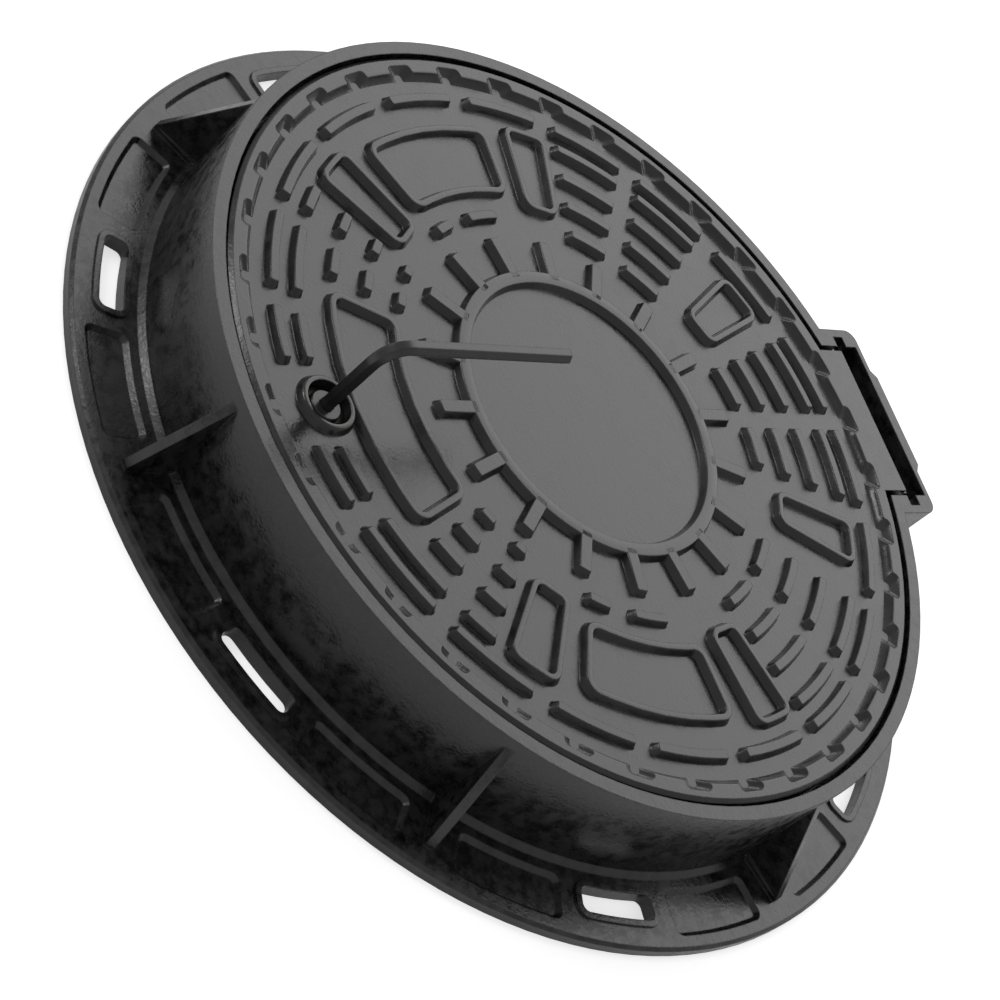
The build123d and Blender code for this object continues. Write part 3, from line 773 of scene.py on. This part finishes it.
    def bars(self) -> bpy.types.Mesh:
        """Bends all curved tread bars from one template round the middle of the lid.

        Returns:
            The finished bars.
        """
        bar = bar_template(
            self.bar_width, self.bar_corner, self.bar_steps, self.draft, self.bar_end_slope
        )
        template = helper_object(bar)
        tree = ShapeTree("Tread bars", CAST_PAINT.material())
        block = tree.add("GeometryNodeObjectInfo", Object=tree.named("Template", template))
        ground = tree.named("Ground height", self.ground * MM)
        copies = tree.add(
            "GeometryNodeInstanceOnPoints",
            Points=tree.base(),
            Instance=block.outputs["Geometry"],
        )
        real = tree.add("GeometryNodeRealizeInstances", Geometry=copies.outputs[0])
        position = tree.add("GeometryNodeInputPosition").outputs[0]
        along, across, height = tree.add("ShaderNodeSeparateXYZ", Vector=position).outputs
        reach = tree.attribute("reach")
        radius = tree.math("ADD", tree.attribute("radius"), across)
        first_gap = tree.math("SUBTRACT", tree.attribute("start setback"), reach)
        second_gap = tree.math("SUBTRACT", tree.attribute("end setback"), reach)
        first_turn = tree.math("ARCSINE", tree.math("DIVIDE", first_gap, radius))
        second_turn = tree.math("ARCSINE", tree.math("DIVIDE", second_gap, radius))
        start = tree.math("ADD", tree.attribute("start"), first_turn)
        end = tree.math("SUBTRACT", tree.attribute("end"), second_turn)
        span = tree.math("SUBTRACT", end, start)
        turn = tree.math("ADD", start, tree.math("MULTIPLY", span, along))
        sideways = tree.math("MULTIPLY", radius, tree.math("SINE", turn))
        side = tree.math("MULTIPLY", sideways, -1.0)
        front = tree.math("MULTIPLY", radius, tree.math("COSINE", turn))
        level = tree.math("ADD", ground, height)
        spot = tree.add("ShaderNodeCombineXYZ", X=side, Y=front, Z=level)
        bent = tree.add(
            "GeometryNodeSetPosition", Geometry=real.outputs[0], Position=spot.outputs[0]
        )
        tree.finish(bent.outputs[0])
        return tree.mesh(self.bar_points(), "Lid tread bars")

    def teeth(self) -> bpy.types.Mesh:
        """Copies the teeth round the centre ring from one template.

        Returns:
            The finished teeth.
        """
        tooth = bar_template(
            self.tooth_width, self.bar_corner, 1, self.draft, self.tooth_end_slope
        )
        template = helper_object(tooth)
        tree = ShapeTree("Centre ring teeth", CAST_PAINT.material())
        block = tree.add("GeometryNodeObjectInfo", Object=tree.named("Template", template))
        root = tree.named("Root radius", self.tooth_root * MM)
        tip = tree.named("Tip radius", self.tooth_tip * MM)
        ground = tree.named("Ground height", self.ground * MM)
        count = tree.named("Count", self.tooth_count)
        position = tree.add("GeometryNodeInputPosition").outputs[0]
        along, across, height = tree.add("ShaderNodeSeparateXYZ", Vector=position).outputs
        side = tree.math("SUBTRACT", tree.math("MULTIPLY", along, 2.0), 1.0)
        push = tree.math("MULTIPLY", side, tree.attribute("reach"))
        length = tree.math("SUBTRACT", tip, root)
        reached = tree.math("ADD", root, tree.math("MULTIPLY", along, length))
        radius = tree.math("ADD", reached, push)
        level = tree.math("ADD", ground, height)
        spot = tree.add("ShaderNodeCombineXYZ", X=radius, Y=across, Z=level)
        shaped = tree.add(
            "GeometryNodeSetPosition",
            Geometry=block.outputs["Geometry"],
            Position=spot.outputs[0],
        )
        tree.finish(tree.copies_round(shaped.outputs[0], count, pi / 2))
        return tree.mesh(bpy.data.meshes.new("Teeth start"), "Lid centre ring teeth")

    def outline(
        self,
        shape: bmesh.types.BMesh,
        panel: tuple[float, float, float, float],
        corner: float,
    ) -> None:
        """Adds one closed line with rounded corners between two radial lines.

        Args:
            shape: the shape that the line is added to.
            panel: plan angle of its middle, half of its angle, inner radius and radial width.
            corner: corner radius.
        """
        centre, half, inner, width = panel
        turns = [radians(turn) for turn in range(0, 91, 15)]
        bend = [(corner * (1 - cos(turn)), corner * (1 - sin(turn))) for turn in turns]
        places = []
        for side, level in ((-1, 0), (1, 0), (1, 1), (-1, 1)):
            part = [
                (side, gap, inner + rise if level == 0 else inner + width - rise)
                for gap, rise in bend
            ]
            places += part if (side == -1) == (level == 0) else list(reversed(part))
            if side == -1 and level == 0:
                places += self.run(inner, half, corner, -1)
            if side == 1 and level == 1:
                places += self.run(inner + width, half, corner, 1)
        points = []
        for side, gap, radius in places:
            inward = (1 if side > 0 else -1) * degrees(asin(gap / radius))
            points.append(polar(radius, centre + side * half - inward, self.ground))
        closed_line(shape, points)

    def run(
        self, radius: float, half: float, corner: float, way: int
    ) -> list[tuple[float, float, float]]:
        """Points along an arc between two corners.

        Args:
            radius: radius of the arc.
            half: half of the plan angle between the radial lines.
            corner: corner radius.
            way: -1 for points that run with the plan angle, 1 for the other way.

        Returns:
            Share of the half angle, gap and radius of each point.
        """
        reach = 1 - degrees(asin(corner / radius)) / half
        return [(-share * reach * way, 0.0, radius) for share in (-0.8, -0.4, 0.0, 0.4, 0.8)]

    def ridge_line(
        self,
        shape: bmesh.types.BMesh,
        panel: tuple[float, float, float, float],
        ridge: float,
        corner: float,
    ) -> None:
        """Adds the middle line of the ridge that frames an oblong or a panel.

        Args:
            shape: the shape that the line is added to.
            panel: plan angle of its middle, half of its angle, inner radius and radial width.
            ridge: width of the ridge.
            corner: outer corner radius.
        """
        centre, half, inner, width = panel
        inset = ridge / 2
        middle = (centre, half - degrees(inset / inner), inner + inset, width - ridge)
        self.outline(shape, middle, corner - inset)

    def ridges(self) -> list[bpy.types.Mesh]:
        """Sweeps the ridges of the oblongs, the bare panels and the centre ring.

        Returns:
            The finished ridges, oblongs first.
        """
        shape = bmesh.new()
        for index in range(self.oblong_count):
            if index != self.oblong_count // 2:
                size = (self.oblong_half_angle, self.oblong_inner, self.oblong_length)
                oblong = (self.oblong_angle(index),) + size
                self.ridge_line(shape, oblong, self.oblong_ridge, self.oblong_corner)
        oblongs = self.swept(shape, self.oblong_ridge, "Lid oblong ridges")
        shape = bmesh.new()
        other_side = (-self.side_panel[0],) + self.side_panel[1:]
        for panel in (self.side_panel, other_side, self.lock_panel):
            self.ridge_line(shape, panel, self.panel_ridge, self.panel_corner)
        frames = self.swept(shape, self.panel_ridge, "Lid panel ridges")
        shape = bmesh.new()
        angles = [360 * step / self.ring_steps for step in range(self.ring_steps)]
        closed_line(shape, [polar(self.ring_radius, angle, self.ground) for angle in angles])
        ring = self.swept(shape, self.ring_width, "Lid centre ring")
        return [oblongs, frames, ring]

    def swept(self, shape: bmesh.types.BMesh, width: float, name: str) -> bpy.types.Mesh:
        """Sweeps the drafted ridge section along closed lines.

        Args:
            shape: the closed lines.
            width: width of the ridge at its top.
            name: name of the result.

        Returns:
            The finished ridges.
        """
        section = bmesh.new()
        levels = self.draft.levels()[:-1]
        left = [(-width / 2 - growth, height) for height, growth in levels]
        right = [(width / 2 + growth, height) for height, growth in reversed(levels)]
        points = [
            section.verts.new(Vector((across, -height, 0)) * MM)
            for across, height in left + right
        ]
        for first, second in zip(points, points[1:]):
            section.edges.new((first, second))
        profile = helper_object(to_mesh(section, name + " section"))
        tree = ShapeTree(name, CAST_PAINT.material())
        line = tree.add("GeometryNodeMeshToCurve", Mesh=tree.base())
        upright = tree.add("GeometryNodeSetCurveNormal", {"mode": "Z_UP"}, Curve=line.outputs[0])
        source = tree.add("GeometryNodeObjectInfo", Object=tree.named("Section", profile))
        edge = tree.add("GeometryNodeMeshToCurve", Mesh=source.outputs["Geometry"])
        body = tree.add("GeometryNodeCurveToMesh", Curve=upright.outputs[0])
        tree.feed(body.inputs["Profile Curve"], edge.outputs[0])
        tree.finish(body.outputs[0])
        return tree.mesh(to_mesh(shape, name + " lines"), name)


def rounded(drop: float, width: float, depth: float, lean: float) -> float:
    """How far a wall with a rounded top edge stands out at a drop below that edge.

    Args:
        drop: depth below the top.
        width: width of the rounding.
        depth: depth of the rounding.
        lean: growth for each unit of depth below the rounding.

    Returns:
        The distance from the edge of the flat top.
    """
    if drop >= depth:
        return width + (drop - depth) * lean
    return width * sqrt(1 - (1 - drop / depth) ** 2)


@dataclass
class Rim:
    """Raised rim with scooped notches in its inner side, one pitch of it copied round the lid.

    Args:
        ground: height of the lid's ground.
        height: height of the rim above the ground.
        count: number of notches.
        outer: radius where the band ends in the flat top.
        crest: inner radius of the flat top between the notches.
        back: radius of the back of a notch at the top.
        mouth: half of the length of a notch at the top.
        floor: half of its length at the ground.
        shoulder: width and depth of the rounded inner edge.
        lip: radius of the edge of a notch.
        corner: plan radius at the back of a notch.
        corner_loss: share of that radius that is gone at the ground.
        cheek: plan radius between the inner side and the end of a notch.
        lean: growth of the sides for each unit of depth.
        foot: width of the fillet at the ground.
        margin: how far the flat top's outline lies back from the edge.
        side_steps: divisions of the inner side between two notches.
        outer_steps: divisions of one pitch along the outer circle.
    """

    ground: float = GROUND
    height: float = RELIEF
    count: int = 36
    outer: float = 319.6
    crest: float = 312.6
    back: float = 318.8
    mouth: float = 13.2
    floor: float = 4.5
    shoulder: tuple[float, float] = (1.6, 1.2)
    lip: float = 0.7
    corner: float = 4.6
    corner_loss: float = 0.4
    cheek: float = 1.4
    lean: float = 0.9
    foot: float = 0.4
    margin: float = 0.4
    side_steps: int = 3
    outer_steps: int = 6

    def mean_radius(self) -> float:
        """Radius on which lengths along the rim are measured."""
        return (self.outer + self.crest) / 2

    def levels(self) -> list[tuple[float, float]]:
        """Works out the rings of the section, from the flat top to below the ground.

        Returns:
            Drop below the top and extra growth of each ring.
        """
        crown = [(0.0, -self.margin)]
        upper = [(drop, 0.0) for drop in (0.0, 0.1, 0.3, 0.6, 0.9, self.shoulder[1])]
        lower = [
            (self.height - self.foot, 0.0),
            (self.height, self.foot),
            (self.height + 1, self.foot),
        ]
        return crown + upper + lower

    def ring(self, drop: float, extra: float) -> list[tuple[float, float]]:
        """Works out half of the plan outline of one pitch.

        Args:
            drop: depth below the top.
            extra: extra growth of the outline.

        Returns:
            Length along the rim and radius of each point.
        """
        side = self.crest - rounded(drop, *self.shoulder, self.lean) - extra
        back = self.back - rounded(drop, self.lip, self.lip, self.lean) - extra
        share = min(drop / self.height, 1.0)
        half = self.mouth + (self.floor - self.mouth) * share - extra
        corner = self.corner * (1 - self.corner_loss * share)
        edge = pi * self.mean_radius() / self.count
        straight = edge - half - self.cheek
        steps = self.side_steps
        outline = [(edge - step * straight / steps, side) for step in range(steps)]
        for turn in QUARTER:
            across = self.cheek * (1 - sin(radians(turn)))
            outline.append((half + across, side + self.cheek * (1 - cos(radians(turn)))))
        for turn in (0, 22.5, 45, 67.5, 90):
            inward = corner * (1 - cos(radians(turn)))
            outline.append((half - inward, back - corner * (1 - sin(radians(turn)))))
        return outline

    def template(self) -> bpy.types.Mesh:
        """Makes one pitch of the band, its notch centred on the line to the hinge.

        Returns:
            The template.
        """
        shape = bmesh.new()
        mean = self.mean_radius()
        rings = []
        for drop, extra in self.levels():
            half = self.ring(drop, extra)
            full = half + [(-along, radius) for along, radius in reversed(half)]
            height = self.ground + self.height - drop
            places = [polar(radius, degrees(along / mean), height) for along, radius in full]
            rings.append([shape.verts.new(place) for place in places])
        for high, low in zip(rings, rings[1:]):
            for index in range(len(high) - 1):
                shape.faces.new((high[index], high[index + 1], low[index + 1], low[index]))
        pitch = 360 / self.count
        steps = range(self.outer_steps + 1)
        angles = [pitch * (step / self.outer_steps - 0.5) for step in steps]
        top = self.ground + self.height
        arc = [shape.verts.new(polar(self.outer, angle, top)) for angle in angles]
        shape.faces.new(list(reversed(rings[0])) + list(reversed(arc)))
        return to_mesh(shape, "Rim pitch")

    def mesh(self) -> bpy.types.Mesh:
        """Copies the pitch round the lid and joins the copies.

        Returns:
            The whole band.
        """
        tree = ShapeTree("Notched rim", CAST_PAINT.material())
        template = tree.named("Pitch", helper_object(self.template()))
        pitch = tree.add("GeometryNodeObjectInfo", Object=template)
        count = tree.named("Notches", self.count)
        copies = tree.copies_round(pitch.outputs["Geometry"], count)
        real = tree.add("GeometryNodeRealizeInstances", Geometry=copies)
        joined = tree.add(
            "GeometryNodeMergeByDistance", Geometry=real.outputs[0], Distance=PITCH_WELD
        )
        tree.finish(joined.outputs[0])
        return tree.mesh(bpy.data.meshes.new("Rim start"), "Lid rim")


@dataclass
class Lid:
    """Lid casting with its tread, collar and rim.

    Args:
        ground: height of the lid's ground.
        cast_ground: height at which the plain casting is cut open.
        top: height of the tread and the rim.
        ground_radius: radius of the ground, just under the rim.
        chamfer_top: radius of the top edge of the chamfered outer edge.
        chamfer_reach: how far beyond it the casting's own edge may lie.
        slack: tolerance on the heights of the casting's faces.
        ground_steps: divisions of the edges of the ground.
        lock_radius: distance of the lock from the middle of the lid.
        bore_radius: radius of the collar's inner wall.
        bore_crown: rounding of the collar's inner top edge.
        bore_sink: how far the inner wall reaches below the opened casting.
        collar_width: width of the collar at its top.
        collar_crown: rounding of the collar's outer top edge.
        collar_steps: divisions of the collar.
        tread: raised pattern.
        rim: notched rim.
    """

    ground: float = GROUND
    cast_ground: float = 90.5
    top: float = LID_TOP
    ground_radius: float = 319.2
    chamfer_top: float = 323.2
    chamfer_reach: float = 1.0
    slack: float = 0.05
    ground_steps: int = 144
    lock_radius: float = 263.5
    bore_radius: float = 17.7
    bore_crown: float = 1.2
    bore_sink: float = 1.0
    collar_width: float = 4.3
    collar_crown: float = 1.6
    collar_steps: int = 64
    tread: Tread = field(default_factory=Tread)
    rim: Rim = field(default_factory=Rim)

    def casting(self) -> bpy.types.Mesh:
        """Keeps the casting's tongue, outer wall, skirt and ribs, and makes its top anew.

        Returns:
            The casting, open under the ground plate.
        """
        shape = joined_copy("lid_casting")
        low = (self.cast_ground - self.slack) * MM
        high = (self.top - self.slack) * MM
        reach = self.rim.outer * MM
        gone = []
        for face in shape.faces:
            heights = [vertex.co.z for vertex in face.verts]
            radii = [hypot(vertex.co.x, vertex.co.y) for vertex in face.verts]
            on_ground = max(heights) < (self.cast_ground + self.slack) * MM
            on_top = min(heights) > high
            if min(heights) > low and (on_ground or on_top or max(radii) < reach):
                gone.append(face)
        bmesh.ops.delete(shape, geom=gone, context="FACES")
        self.close_top(shape, high)
        return to_mesh(shape, "Lid casting", CAST_PAINT)

    def close_top(self, shape: bmesh.types.BMesh, high: float) -> None:
        """Fills the flat top between the notched band and the outline of the rim and the tongue.

        Args:
            shape: the casting with its top open.
            high: height just below the top, in metres.
        """
        corners = {
            vertex
            for vertex in shape.verts
            if vertex.co.z > high and vertex.co.xy.length > self.rim.outer * MM
        }
        outline = [
            edge for edge in shape.edges if edge.is_boundary and corners.issuperset(edge.verts)
        ]
        for vertex in {vertex for edge in outline for vertex in edge.verts}:
            radius = vertex.co.xy.length / MM
            if radius < self.chamfer_top + self.chamfer_reach:
                vertex.co.xy *= self.chamfer_top / radius
        steps = self.rim.count * self.rim.outer_steps
        turns = [360 * (step / steps - 0.5 / self.rim.count) for step in range(steps)]
        loop = closed_line(shape, [polar(self.rim.outer, turn, self.top) for turn in turns])
        filled = bmesh.ops.triangle_fill(shape, edges=outline + loop, use_beauty=True)["geom"]
        turn_up([item for item in filled if isinstance(item, bmesh.types.BMFace)])

    def ground_plate(self) -> bpy.types.Mesh:
        """Makes the flat ground between the raised features, open at the lock.

        Returns:
            The ground.
        """
        shape = bmesh.new()
        circles = [(self.ground_radius, (0.0, 0.0)), (self.bore_radius, (0.0, -self.lock_radius))]
        for radius, centre in circles:
            closed_line(shape, circle_points(radius, centre, self.ground, self.ground_steps))
        bmesh.ops.triangle_fill(shape, edges=shape.edges, use_beauty=True)
        turn_up(list(shape.faces))
        return to_mesh(shape, "Lid ground", CAST_PAINT)

    def collar(self) -> bpy.types.Mesh:
        """Makes the collar round the lock, upright inside and drafted outside.

        Returns:
            The collar.
        """
        outer = self.bore_radius + self.collar_width
        levels = Draft(crown=self.collar_crown).levels()[:-1]
        outside = [(outer + growth, self.ground + height) for height, growth in levels]
        crown = self.bore_crown
        inside = [
            (self.bore_radius + crown, self.top),
            (self.bore_radius + crown / 3, self.top - crown / 4),
            (self.bore_radius, self.top - crown),
            (self.bore_radius, self.cast_ground - self.bore_sink),
        ]
        shape = revolved(outside + inside, (0.0, -self.lock_radius), self.collar_steps)
        return to_mesh(shape, "Lid lock collar", CAST_PAINT)

    def build(self) -> None:
        """Makes the pieces of the lid and lets them stand for its plain casting."""
        casting = place_piece(self.casting(), Body.LID)
        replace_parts(casting, "lid_casting")
        meshes = [self.ground_plate(), self.collar(), self.rim.mesh()]
        meshes += [self.tread.bars(), self.tread.teeth()] + self.tread.ridges()
        for mesh in meshes:
            place_piece(mesh, Body.LID)


# ---- Frame ----
@dataclass
class FrameCasting:
    """Flanged frame with its gussets, slots and hinge housing."""

    def build(self) -> None:
        """Makes the frame piece and lets it stand for its plain casting."""
        mesh = to_mesh(joined_copy("frame_casting"), "Frame casting", FRAME_PAINT)
        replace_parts(place_piece(mesh, Body.FRAME), "frame_casting")


# ---- Small parts ----
class SlotFinish(Enum):
    """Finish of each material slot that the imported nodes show."""

    FRAME_IRON = FRAME_PAINT
    LID_IRON = CAST_PAINT
    SEAL_RUBBER = RUBBER
    PIN_STEEL = PIN_STEEL
    LOCK_STEEL = LOCK_STEEL
    BUSH_BRASS = BRASS
    KEY_STEEL = KEY_STEEL


def dress_nodes() -> None:
    """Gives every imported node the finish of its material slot."""
    for part in frame["record"]["subparts"]:
        finish = SlotFinish[part["material_slot"].upper()].value
        mesh = frame["nodes"][part["node"]].data
        for index in range(len(mesh.materials)):
            mesh.materials[index] = finish.material()
        LOG.info("%s: %s", part["node"], finish.name)


# ---- Studio ----
@dataclass
class Camera:
    """Camera that stands off the object at an angle and is turned about its own axis.

    Args:
        target: point looked at, in metres.
        distance: distance from that point in metres.
        azimuth: angle of its place round the object in degrees, from -Y towards +X.
        elevation: angle above the floor in degrees.
        roll: turn about the line of sight in degrees.
        lens: focal length in millimetres.
        sensor: width of the sensor in millimetres.
        far: distance in metres beyond which nothing is drawn.
    """

    target: tuple[float, float, float] = (0.0493, -0.0795, 0.05)
    distance: float = 2.107
    azimuth: float = 26.7
    elevation: float = 37.8
    roll: float = 50.72
    lens: float = 102.57
    sensor: float = 36.0
    far: float = 100.0

    def build(self) -> None:
        """Adds the camera and makes it the scene's own."""
        data = bpy.data.cameras.new("Camera")
        data.lens = self.lens
        data.sensor_width = self.sensor
        data.clip_end = self.far
        camera = bpy.data.objects.new("Camera", data)
        heading = Matrix.Rotation(radians(self.azimuth), 4, "Z")
        tilt = Matrix.Rotation(radians(90 - self.elevation), 4, "X")
        turn = heading @ tilt @ Matrix.Rotation(radians(self.roll), 4, "Z")
        back = turn.to_3x3() @ Vector((0, 0, 1))
        camera.matrix_world = Matrix.Translation(Vector(self.target) + back * self.distance) @ turn
        bpy.context.scene.collection.objects.link(camera)
        bpy.context.scene.camera = camera


@dataclass
class Softbox:
    """Flat area lamp aimed at the object.

    Args:
        name: name of the lamp.
        bearing: plan angle of its place in degrees, from +X towards +Y.
        elevation: angle above the floor in degrees.
        distance: distance from the object in metres.
        width: level side of the lamp in metres.
        height: other side of the lamp in metres.
        power: radiant power in watts.
    """

    name: str
    bearing: float
    elevation: float
    distance: float
    width: float
    height: float
    power: float

    def build(self) -> None:
        """Adds the lamp."""
        data = bpy.data.lights.new(self.name, "AREA")
        data.shape = "RECTANGLE"
        data.size = self.width
        data.size_y = self.height
        data.energy = self.power
        lamp = bpy.data.objects.new(self.name, data)
        flat = cos(radians(self.elevation))
        bearing = radians(self.bearing)
        aim = Vector((flat * cos(bearing), flat * sin(bearing), sin(radians(self.elevation))))
        lamp.location = aim * self.distance
        lamp.rotation_euler = aim.to_track_quat("Z", "Y").to_euler()
        bpy.context.scene.collection.objects.link(lamp)


@dataclass
class Studio:
    """Pale floor, surroundings and lamps.

    Args:
        floor_radius: radius of the floor in metres.
        floor_shade: brightness of the floor's own colour.
        floor_glow: light that the floor adds where the camera sees it.
        floor_mirror: light that it adds in mirror images.
        surround: brightness of the surroundings as the object sees them.
        lamps: the lamps.
    """

    floor_radius: float = 12.0
    floor_shade: float = 0.75
    floor_glow: float = 0.6
    floor_mirror: float = 0.3
    surround: float = 0.48
    lamps: tuple[Softbox, ...] = (
        Softbox("Main softbox", 119.5, 38.0, 4.0, 4.8, 3.0, 80.0),
        Softbox("Side softbox", 215.0, 35.0, 4.0, 1.2, 1.2, 30.0),
    )

    def floor(self) -> None:
        """Pale floor that keeps the object's shadow and shows white to the camera."""
        material = bpy.data.materials.new("Pale floor")
        material.use_nodes = True
        graph = Graph(material.node_tree)
        for node in list(material.node_tree.nodes):
            material.node_tree.nodes.remove(node)
        paper = graph.add("ShaderNodeBsdfDiffuse", Color=(self.floor_shade,) * 3 + (1.0,))
        rays = graph.add("ShaderNodeLightPath")
        seen = graph.math("MULTIPLY", rays.outputs["Is Camera Ray"], self.floor_glow)
        mirrored = graph.math("MULTIPLY", rays.outputs["Is Glossy Ray"], self.floor_mirror)
        glow = graph.add("ShaderNodeEmission", Strength=graph.math("ADD", seen, mirrored))
        both = graph.add("ShaderNodeAddShader")
        graph.feed(both.inputs[0], paper.outputs[0])
        graph.feed(both.inputs[1], glow.outputs[0])
        graph.add("ShaderNodeOutputMaterial", Surface=both.outputs[0])
        shape = bmesh.new()
        bmesh.ops.create_circle(shape, cap_ends=True, segments=64, radius=self.floor_radius)
        mesh = to_mesh(shape, "Floor")
        mesh.materials.append(material)
        floor = bpy.data.objects.new("Floor", mesh)
        bpy.context.scene.collection.objects.link(floor)

    def surroundings(self) -> None:
        """Dim grey surroundings that show white to the camera."""
        world = bpy.data.worlds.new("Surroundings")
        world.use_nodes = True
        graph = Graph(world.node_tree)
        background = world.node_tree.nodes["Background"]
        rays = graph.add("ShaderNodeLightPath")
        extra = graph.math("MULTIPLY", rays.outputs["Is Camera Ray"], 1.0 - self.surround)
        graph.feed(background.inputs["Color"], (1.0, 1.0, 1.0, 1.0))
        graph.feed(background.inputs["Strength"], graph.math("ADD", extra, self.surround))
        bpy.context.scene.world = world

    def build(self) -> None:
        """Sets up the whole studio."""
        self.floor()
        self.surroundings()
        for lamp in self.lamps:
            lamp.build()


def main() -> None:
    """Builds the pieces, the studio and the camera in order."""
    logging.basicConfig(level=logging.INFO, format="%(name)s %(message)s")
    bpy.context.scene.view_settings.view_transform = "Standard"
    dress_nodes()
    FrameCasting().build()
    Lid().build()
    Studio().build()
    Camera().build()


if __name__ == "__main__":
    main()
